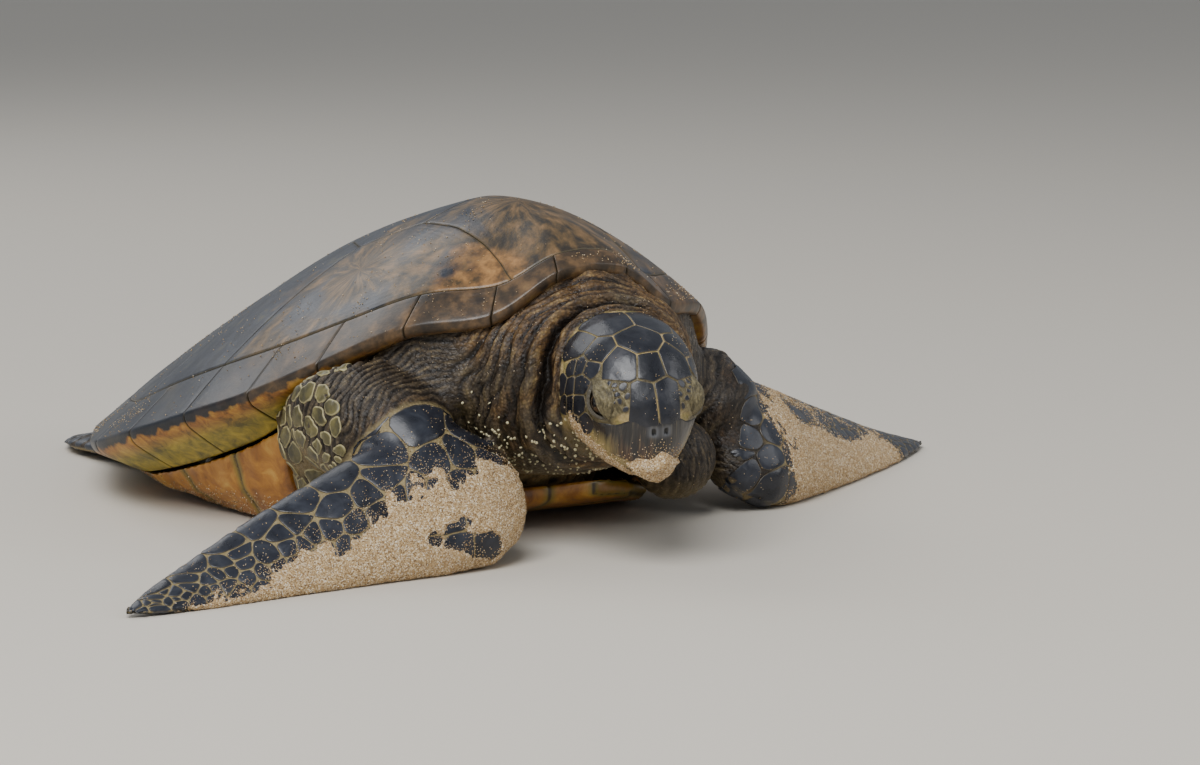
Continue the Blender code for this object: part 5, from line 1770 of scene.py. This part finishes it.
def marginal_horn(node, place):
    """Keratin of the rim, wet and worn smooth: dark above like the back, and amber running to
    olive green beneath, where no light darkens it."""
    rays, cloud = horn_pattern(node, place)
    border, under = (node("Attribute", out="Fac", attribute_name=name)
                     for name in ("border", "under"))
    along = node("SeparateXYZ", [place], "Y")
    slate = node("TexNoise", {"Vector": place, "Scale": 26.0, "Detail": 4.0})
    slate = node("ValToRGB", [slate], stops=[(0.36, "14171D"), (0.52, "20232A"), (0.66, "37332A"),
                                             (0.8, "584829")])
    above = node("Mix", {0: 0.65, 6: rays, 7: slate}, data_type="RGBA")
    tan = node("TexNoise", {"Vector": place, "Scale": 42.0, "Detail": 5.0, "Roughness": 0.62})
    tan = node("ValToRGB", [tan], stops=[(0.34, "241E18"), (0.48, "443524"), (0.6, "6A5135"),
                                         (0.76, "8C6E48")])
    spots = node("TexNoise", {"Vector": place, "Scale": 55.0, "Detail": 5.0, "Roughness": 0.65,
                              "Distortion": 0.6})
    amber = node("ValToRGB", [spots], stops=[(0.34, "5E3E18"), (0.46, "9A6424"), (0.6, "B98732"),
                                             (0.74, "C9A24A")])
    olive = node("ValToRGB", [spots], stops=[(0.34, "5A5320"), (0.48, "877A28"), (0.62, "A8932F"),
                                             (0.76, "BFA945")])
    beneath = node("Mix", {0: node("MapRange", [under, 0.014, 0.036]), 6: amber, 7: olive},
                   data_type="RGBA")
    beneath = node("Mix", {0: node("MapRange", [along, -0.27, -0.38, 0.0, 0.85]), 6: beneath,
                           7: colour("43372A")}, data_type="RGBA")
    ragged = node("TexNoise", {"Vector": place, "Scale": 70.0, "Detail": 3.0})
    ragged = node("Math", [under, node("MapRange", [ragged, 0.3, 0.7, -0.004, 0.004])],
                  operation="ADD")
    coats = [(node("MapRange", [along, -0.14, -0.36, 0.0, 0.85]), tan),
             (node("MapRange", [ragged, 0.006, 0.01]), beneath),
             (node("MapRange", [border, 0.0003, 0.0018, 0.75, 0.0]), "2B2519")]
    bump = scratched(node, place, 380.0, 0.0004, 0.4)
    return above, coats, {"Roughness": node("MapRange", [cloud, 0.3, 0.7, 0.3, 0.48]),
                          "IOR": HORN_BENDS, "Normal": bump, "Specular IOR Level": 0.4}


def belly_horn(node, place):
    """Keratin of the belly and bridge, never darkened by light: amber and yellow, with brown
    growth lines, olive borders and a damp gloss."""
    border = node("Attribute", out="Fac", attribute_name="border")
    spots = node("TexNoise", {"Vector": place, "Scale": 30.0, "Detail": 5.0, "Roughness": 0.6,
                              "Distortion": 0.9})
    base = node("ValToRGB", [spots], stops=[(0.32, "6B4018"), (0.45, "96601F"), (0.58, "B27A2B"),
                                            (0.72, "C79C4A")])
    coats = [(node("MapRange", [border, 0.003, 0.01, 0.7, 0.0]), "77722C"),
             (node("MapRange", [border, 0.001, 0.0034, 0.95, 0.0]), "3A2C18")]
    bump = scratched(node, place, 300.0, 0.0004, 0.4)
    return base, coats, {"Roughness": node("MapRange", [spots, 0.3, 0.7, 0.28, 0.42]),
                         "IOR": HORN_BENDS, "Normal": bump}


def leathery_skin(node, place):
    """Loose wet skin: fine folds lie across the pull of the neck and round the shoulders, with
    painted shade in their grooves and a painted highlight on their ridges; it is paler beneath
    and between the plates."""
    hood, ridge, arm, head, blade, lid, rim = (
        node("Attribute", out="Fac", attribute_name=name)
        for name in ("hood", "ridge", "arm", "head", "blade", "lid", "rim"))
    ways = []
    for name, stretch in (("way_out", (270.0, 70.0, 70.0)), ("way_back", (290.0, 60.0, 60.0))):
        way = node("Attribute", out="Vector", attribute_name=name)
        way = node("VectorMath", [way, stretch], operation="MULTIPLY")
        ways.append(node("TexNoise", {"Vector": way, "Scale": 1.0, "Detail": 5.0,
                                      "Roughness": 0.62, "Distortion": 0.5}))
    lines = node("Mix", {0: hood, 2: ways[0], 3: ways[1]}, data_type="FLOAT")
    ridge = node("MapRange", [ridge, -1.0, 1.0, -0.27, 0.18])
    height = node("Math", [lines, ridge], operation="ADD")
    region = node("TexNoise", {"Vector": place, "Scale": 14.0, "Detail": 3.0, "Roughness": 0.5})
    # These dark-to-pale ramps follow the folds' height and the wrinkle lines that also make the
    # bump: painted shade in the grooves and a painted highlight on the crests, over the skin's own
    # browns.
    grey = node("ValToRGB", [height], stops=[(0.28, "0E0B09"), (0.43, "221C16"), (0.56, "3D342A"),
                                             (0.7, "594D3C"), (0.88, "80704F")])
    warm = node("ValToRGB", [height], stops=[(0.28, "120C08"), (0.43, "2A1D12"), (0.56, "4B3722"),
                                             (0.7, "705534"), (0.88, "A08656")])
    warmth = node("Math", [node("MapRange", [region, 0.42, 0.58]), arm], operation="SUBTRACT")
    # A fine net of wrinkles: it makes the bump, and its dark coat below is painted shade in the
    # net's grooves.
    grain = node("TexVoronoi", {"Vector": place, "Scale": 280.0}, "Distance")
    facing = node("SeparateXYZ", [node("NewGeometry", out="Normal")], "Z")
    far_back = node("MapRange", [node("SeparateXYZ", [place], "Y"), -0.44, -0.3, 0.1, 0.7])
    pale = node("Math", [node("MapRange", [facing, -0.25, -0.75]), far_back], operation="MULTIPLY")
    spots = node("TexNoise", {"Vector": place, "Scale": 90.0, "Detail": 4.0})
    seams = node("ValToRGB", [spots], stops=[(0.35, "847A48"), (0.5, "A18D5E"), (0.66, "BCA67A")])
    between = node("Mix", {0: spots, 6: colour("5E5238"), 7: colour("A8966A")}, data_type="RGBA")
    # On the lids the colour follows the same crease lines as the bump: painted shade in their
    # grooves, painted highlight on their crests.
    lid_lines = node("ValToRGB", [lines], stops=[(0.3, "352F21"), (0.45, "5A523A"),
                                                 (0.6, "7A7053"), (0.78, "988C66")])
    coats = [(node("MapRange", [warmth, 0.0, 1.0]), warm),
             (node("MapRange", [grain, 0.28, 0.6, 0.0, 0.45]), "1E1710"), (pale, "A89468"),
             (head, seams), (blade, between), (lid, lid_lines), (rim, "4A4438")]
    bump = node("Bump", {"Height": height, "Distance": 0.0022, "Strength": 0.9})
    bump = node("Bump", {"Height": grain, "Distance": 0.0011, "Strength": 0.7, "Normal": bump},
                invert=True)
    gloss = node("TexNoise", {"Vector": place, "Scale": 60.0, "Detail": 3.0})
    gloss = node("MapRange", [gloss, 0.35, 0.65, 0.32, 0.52])
    return grey, coats, {"Roughness": gloss, "IOR": 1.42, "Normal": bump}


def plate_horn(node, place, hues, edge):
    """Thin shields of keratin, damp and smooth: dark slate with paler clouds where the top layer
    has worn, and a light edge where they meet the skin."""
    border, tint = (node("Attribute", out="Fac", attribute_name=name)
                    for name in ("border", "tint"))
    cloud = node("TexNoise", {"Vector": place, "Scale": 48.0, "Detail": 5.0, "Roughness": 0.6,
                              "Distortion": 0.5})
    base = node("ValToRGB", [cloud], stops=list(zip((0.3, 0.46, 0.6, 0.74, 0.84), hues)))
    shade = node("MapRange", [tint, 0.0, 1.0, 0.75, 1.15])
    base = node("VectorMath", {0: base, "Scale": shade}, operation="SCALE")
    coats = [(node("MapRange", [border, 0.0002, 0.0009, 0.6, 0.0]), edge)]
    scratch = node("VectorMath", [place, (1.0, 1.0, 2.4)], operation="MULTIPLY")
    scratch = node("TexNoise", {"Vector": scratch, "Scale": 520.0, "Detail": 4.0})
    bump = node("Bump", {"Height": scratch, "Distance": 0.0003, "Strength": 0.5})
    return base, coats, {"Roughness": node("MapRange", [cloud, 0.3, 0.7, 0.24, 0.4]),
                         "IOR": HORN_BENDS, "Normal": bump}


def beak_horn(node, place):
    """Layered horn over the jaws: dark grey above, with orange-brown fibres that run down to the
    cutting edge, and yellow-olive beneath."""
    streak = node("Attribute", out="Vector", attribute_name="streak")
    side, jaw, shield, nostril = (node("Attribute", out="Fac", attribute_name=name)
                                  for name in ("side", "jaw", "shield", "nostril"))
    fibres = node("VectorMath", [streak, (330.0, 40.0, 1.0)], operation="MULTIPLY")
    fibres = node("TexNoise", {"Vector": fibres, "Scale": 1.0, "Detail": 4.0, "Roughness": 0.6,
                               "Distortion": 0.4})
    down = node("SeparateXYZ", [streak], "Y")
    amber = node("ValToRGB", [fibres], stops=[(0.28, "2E231C"), (0.48, "49362A"), (0.6, "614834"),
                                              (0.76, "86664A")])
    slate = node("ValToRGB", [fibres], stops=[(0.3, "1B191A"), (0.5, "2A2828"), (0.72, "3B3735")])
    patches = node("VectorMath", [streak, (120.0, 30.0, 1.0)], operation="MULTIPLY")
    patches = node("TexNoise", {"Vector": patches, "Scale": 1.0, "Detail": 3.0})
    low = node("Math", [node("MapRange", [down, 0.006, 0.026, -0.45, 0.65]),
                        node("MapRange", [patches, 0.35, 0.65, -0.6, 0.5])], operation="ADD")
    side = node("Math", [side, node("MapRange", [down, 0.008, 0.024])], operation="MULTIPLY")
    side = node("Math", [side, node("MapRange", [fibres, 0.3, 0.7, -0.25, 0.15])], operation="ADD")
    olive, ochre, stone = (
        node("Mix", {0: fibres, 6: colour(low_hue), 7: colour(high_hue)}, data_type="RGBA")
        for low_hue, high_hue in (("75683E", "B5A36C"), ("6E5F36", "B3A06A"), ("3C3D42", "6A6B6E")))
    # The near-black coat over the nostrils is painted shade in their openings.
    coats = [(low, amber), (node("MapRange", [side, 0.0, 1.0]), olive), (jaw, ochre),
             (shield, stone), (node("MapRange", [nostril, 0.1, 0.6]), "050404")]
    bump = node("Bump", {"Height": fibres, "Distance": 0.0003, "Strength": 0.4})
    return slate, coats, {"Roughness": 0.32, "IOR": HORN_BENDS, "Normal": bump}


def damp_sand(node, place):
    """Grains of quartz and shell stuck on with water: each keeps its own colour."""
    cell = node("TexVoronoi", {"Vector": place, "Scale": 900.0}, "Distance")
    hue = node("SeparateColor", [cell.node.outputs["Color"]], "Red")
    base = node("ValToRGB", [hue], stops=[(0.05, "6E5538"), (0.25, "A88A5E"), (0.6, "C4A678"),
                                          (0.85, "DEC9A4"), (0.97, "F0E6D2")])
    cloud = node("TexNoise", {"Vector": place, "Scale": 120.0, "Detail": 3.0})
    coats = [(node("MapRange", [cloud, 0.35, 0.65, 0.0, 0.35]), "A4845C")]
    bump = node("Bump", {"Height": cell, "Distance": 0.0008, "Strength": 0.9}, invert=True)
    return base, coats, {"Roughness": 0.8, "IOR": HORN_BENDS, "Normal": bump}


def round_scale(node, place, hues, edge):
    """Round scales of the softer skin: olive keratin with a pale raised border."""
    border = node("Attribute", out="Fac", attribute_name="border")
    cloud = node("TexNoise", {"Vector": place, "Scale": 60.0, "Detail": 4.0})
    base = node("ValToRGB", [cloud], stops=list(zip((0.32, 0.46, 0.6, 0.74), hues)))
    coats = [(node("MapRange", [border, 0.0006, 0.002, 0.75, 0.0]), edge)]
    bump = scratched(node, place, 500.0, 0.0003, 0.4)
    return base, coats, {"Roughness": 0.42, "IOR": HORN_BENDS, "Normal": bump}


def stained_bone(node, place):
    """The dull stained bone under the scutes, seen only in the depth of the seams."""
    stain = node("TexNoise", {"Vector": place, "Scale": 120.0, "Detail": 4.0})
    base = node("ValToRGB", [stain], stops=[(0.35, "2C2519"), (0.55, "433A28"), (0.75, "5A4E36")])
    return base, [], {"Roughness": 0.6, "IOR": 1.55}


def wet_eye(node, place):
    """A wet cornea over a dark brown iris with a black pupil."""
    turn = node("Attribute", out="Fac", attribute_name="turn")
    fibres = node("TexNoise", {"Vector": place, "Scale": 900.0, "Detail": 2.0})
    iris = node("Mix", {0: fibres, 6: colour("1E140C"), 7: colour("4A3520")}, data_type="RGBA")
    coats = [(node("MapRange", [turn, 0.26, 0.3]), iris),
             (node("MapRange", [turn, 0.52, 0.6]), "15110D")]
    return colour("040303"), coats, {"Roughness": 0.06, "IOR": 1.376, "Coat Weight": 1.0,
                                     "Coat Roughness": 0.03, "Coat IOR": 1.376}


CARAPACE = finish("wet_carapace_keratin", carapace_horn)
BONE = finish("seam_bone", stained_bone)
MARGINAL_HORN = finish("wet_rim_keratin", marginal_horn)
BELLY_HORN = finish("wet_belly_keratin", belly_horn)
SKIN_FINISH = finish("wet_leathery_skin", leathery_skin)
PLATE_HORN = finish("wet_head_plate_keratin", plate_horn,
                    ["14161D", "1C1E26", "26282F", "36353A", "56534C"], "7C6E50")
FLIPPER_HORN = finish("wet_flipper_scale_keratin", plate_horn,
                      ["13161E", "1C1F29", "272B35", "373A42", "524F4A"], "5F5644")
BEAK_HORN = finish("beak_keratin", beak_horn)
SAND = finish("damp_sand", damp_sand)
FLANK_SCALE = finish("flank_scale_keratin", round_scale,
                     ["35311F", "524C2E", "6A623A", "7F764A"], "B5AA7C")
GRANULE = finish("pale_granule_keratin", round_scale,
                 ["8A8058", "B0A67C", "C9C09A", "DAD2B4"], "C9C09A")
EYE_FINISH = finish("wet_dark_eye", wet_eye)

make_carapace()
make_rim()
make_belly()
SKIN_MESH = make_skin()
SKIN_FACES = [tuple(face.vertices) for face in SKIN_MESH.polygons]
SKIN_POINTS = places_of(SKIN_MESH)
LIDS = make_lids(surface_tree(SKIN_POINTS, SKIN_FACES))
BARE_HEAD = surface_tree(raised_for_eyes(SKIN_POINTS, False)[0], SKIN_FACES)
SKIN_SUNK, EYELID = raised_for_eyes(SKIN_POINTS, True)
SKIN_SUNK = sunk_at_nostrils(SKIN_SUNK)
move_points(SKIN_MESH, SKIN_SUNK)
write_mark(SKIN_MESH, "lid", EYELID)
SKIN_TREE = surface_tree(SKIN_SUNK, SKIN_FACES)
make_eyes()
make_head_plates()
flipper_scales("flipper_scales_right", FLIPPER_RIGHT, -1, 0.016, 81)
flipper_scales("flipper_scales_left", FLIPPER_LEFT, 1, 0.014, 91)
make_beak()
make_small_scales()
make_sand()


def joined(first, second):
    """Two meshes as one, with the marks of both."""
    things = [bpy.data.objects.new("join", mesh) for mesh in (first, second)]
    for thing in things:
        bpy.context.scene.collection.objects.link(thing)
    with bpy.context.temp_override(active_object=things[0], selected_editable_objects=things):
        bpy.ops.object.join()
    mesh = things[0].data
    bpy.data.objects.remove(things[0])
    return mesh


finish_piece("skin", joined(SKIN_MESH, LIDS), SKIN_FINISH, FLESH)


# Room, light and camera ---------------------------------------------------------------------------
def make_room():
    """A pale floor, an even world and three soft panels of light."""
    floor_mesh = bpy.data.meshes.new("studio_floor")
    half = 25.0
    floor_mesh.from_pydata([(-half, -half, 0), (half, -half, 0), (half, half, 0), (-half, half, 0)],
                           [], [(0, 1, 2, 3)])
    floor = bpy.data.objects.new("studio_floor", floor_mesh)
    floor_mesh.materials.append(finish("pale_studio_floor", floor_paint))
    bpy.context.scene.collection.objects.link(floor)
    world = bpy.data.worlds.new("studio")
    world.use_nodes = True
    world.node_tree.nodes["Background"].inputs["Color"].default_value = colour("E4EAF2")
    world.node_tree.nodes["Background"].inputs["Strength"].default_value = 0.42
    bpy.context.scene.world = world
    for name, place, size, power in (("key_panel", (-2.2, -2.4, 3.6), 2.6, 215),
                                     ("rear_panel", (-0.8, 3.6, 3.4), 3.2, 80),
                                     ("fill_panel", (3.2, -2.6, 2.2), 2.4, 38)):
        light = bpy.data.lights.new(name, "AREA")
        light.size = size
        light.energy = power
        lamp = bpy.data.objects.new(name, light)
        lamp.location = place
        aim = Vector((0, -0.1, 0.15)) - lamp.location
        lamp.rotation_euler = aim.to_track_quat("-Z", "Y").to_euler()
        bpy.context.scene.collection.objects.link(lamp)


# Where the camera looks, from where round the target and how high, and from how far.
VIEW_TARGET = Vector((-0.03, -0.51, 0.18))
VIEW_TURN = math.radians(-32)
VIEW_RISE = math.radians(8.5)
VIEW_DISTANCE = 4.0


def make_camera():
    """The camera, in front of the right side and a little above the rim."""
    lens = bpy.data.cameras.new("camera")
    lens.lens = 120
    lens.sensor_width = 36
    lens.clip_end = 100
    camera = bpy.data.objects.new("camera", lens)
    back = Vector((math.sin(VIEW_TURN) * math.cos(VIEW_RISE),
                   -math.cos(VIEW_TURN) * math.cos(VIEW_RISE), math.sin(VIEW_RISE)))
    camera.location = VIEW_TARGET + back * VIEW_DISTANCE
    camera.rotation_euler = (-back).to_track_quat("-Z", "Y").to_euler()
    bpy.context.scene.collection.objects.link(camera)
    bpy.context.scene.camera = camera


make_room()
make_camera()
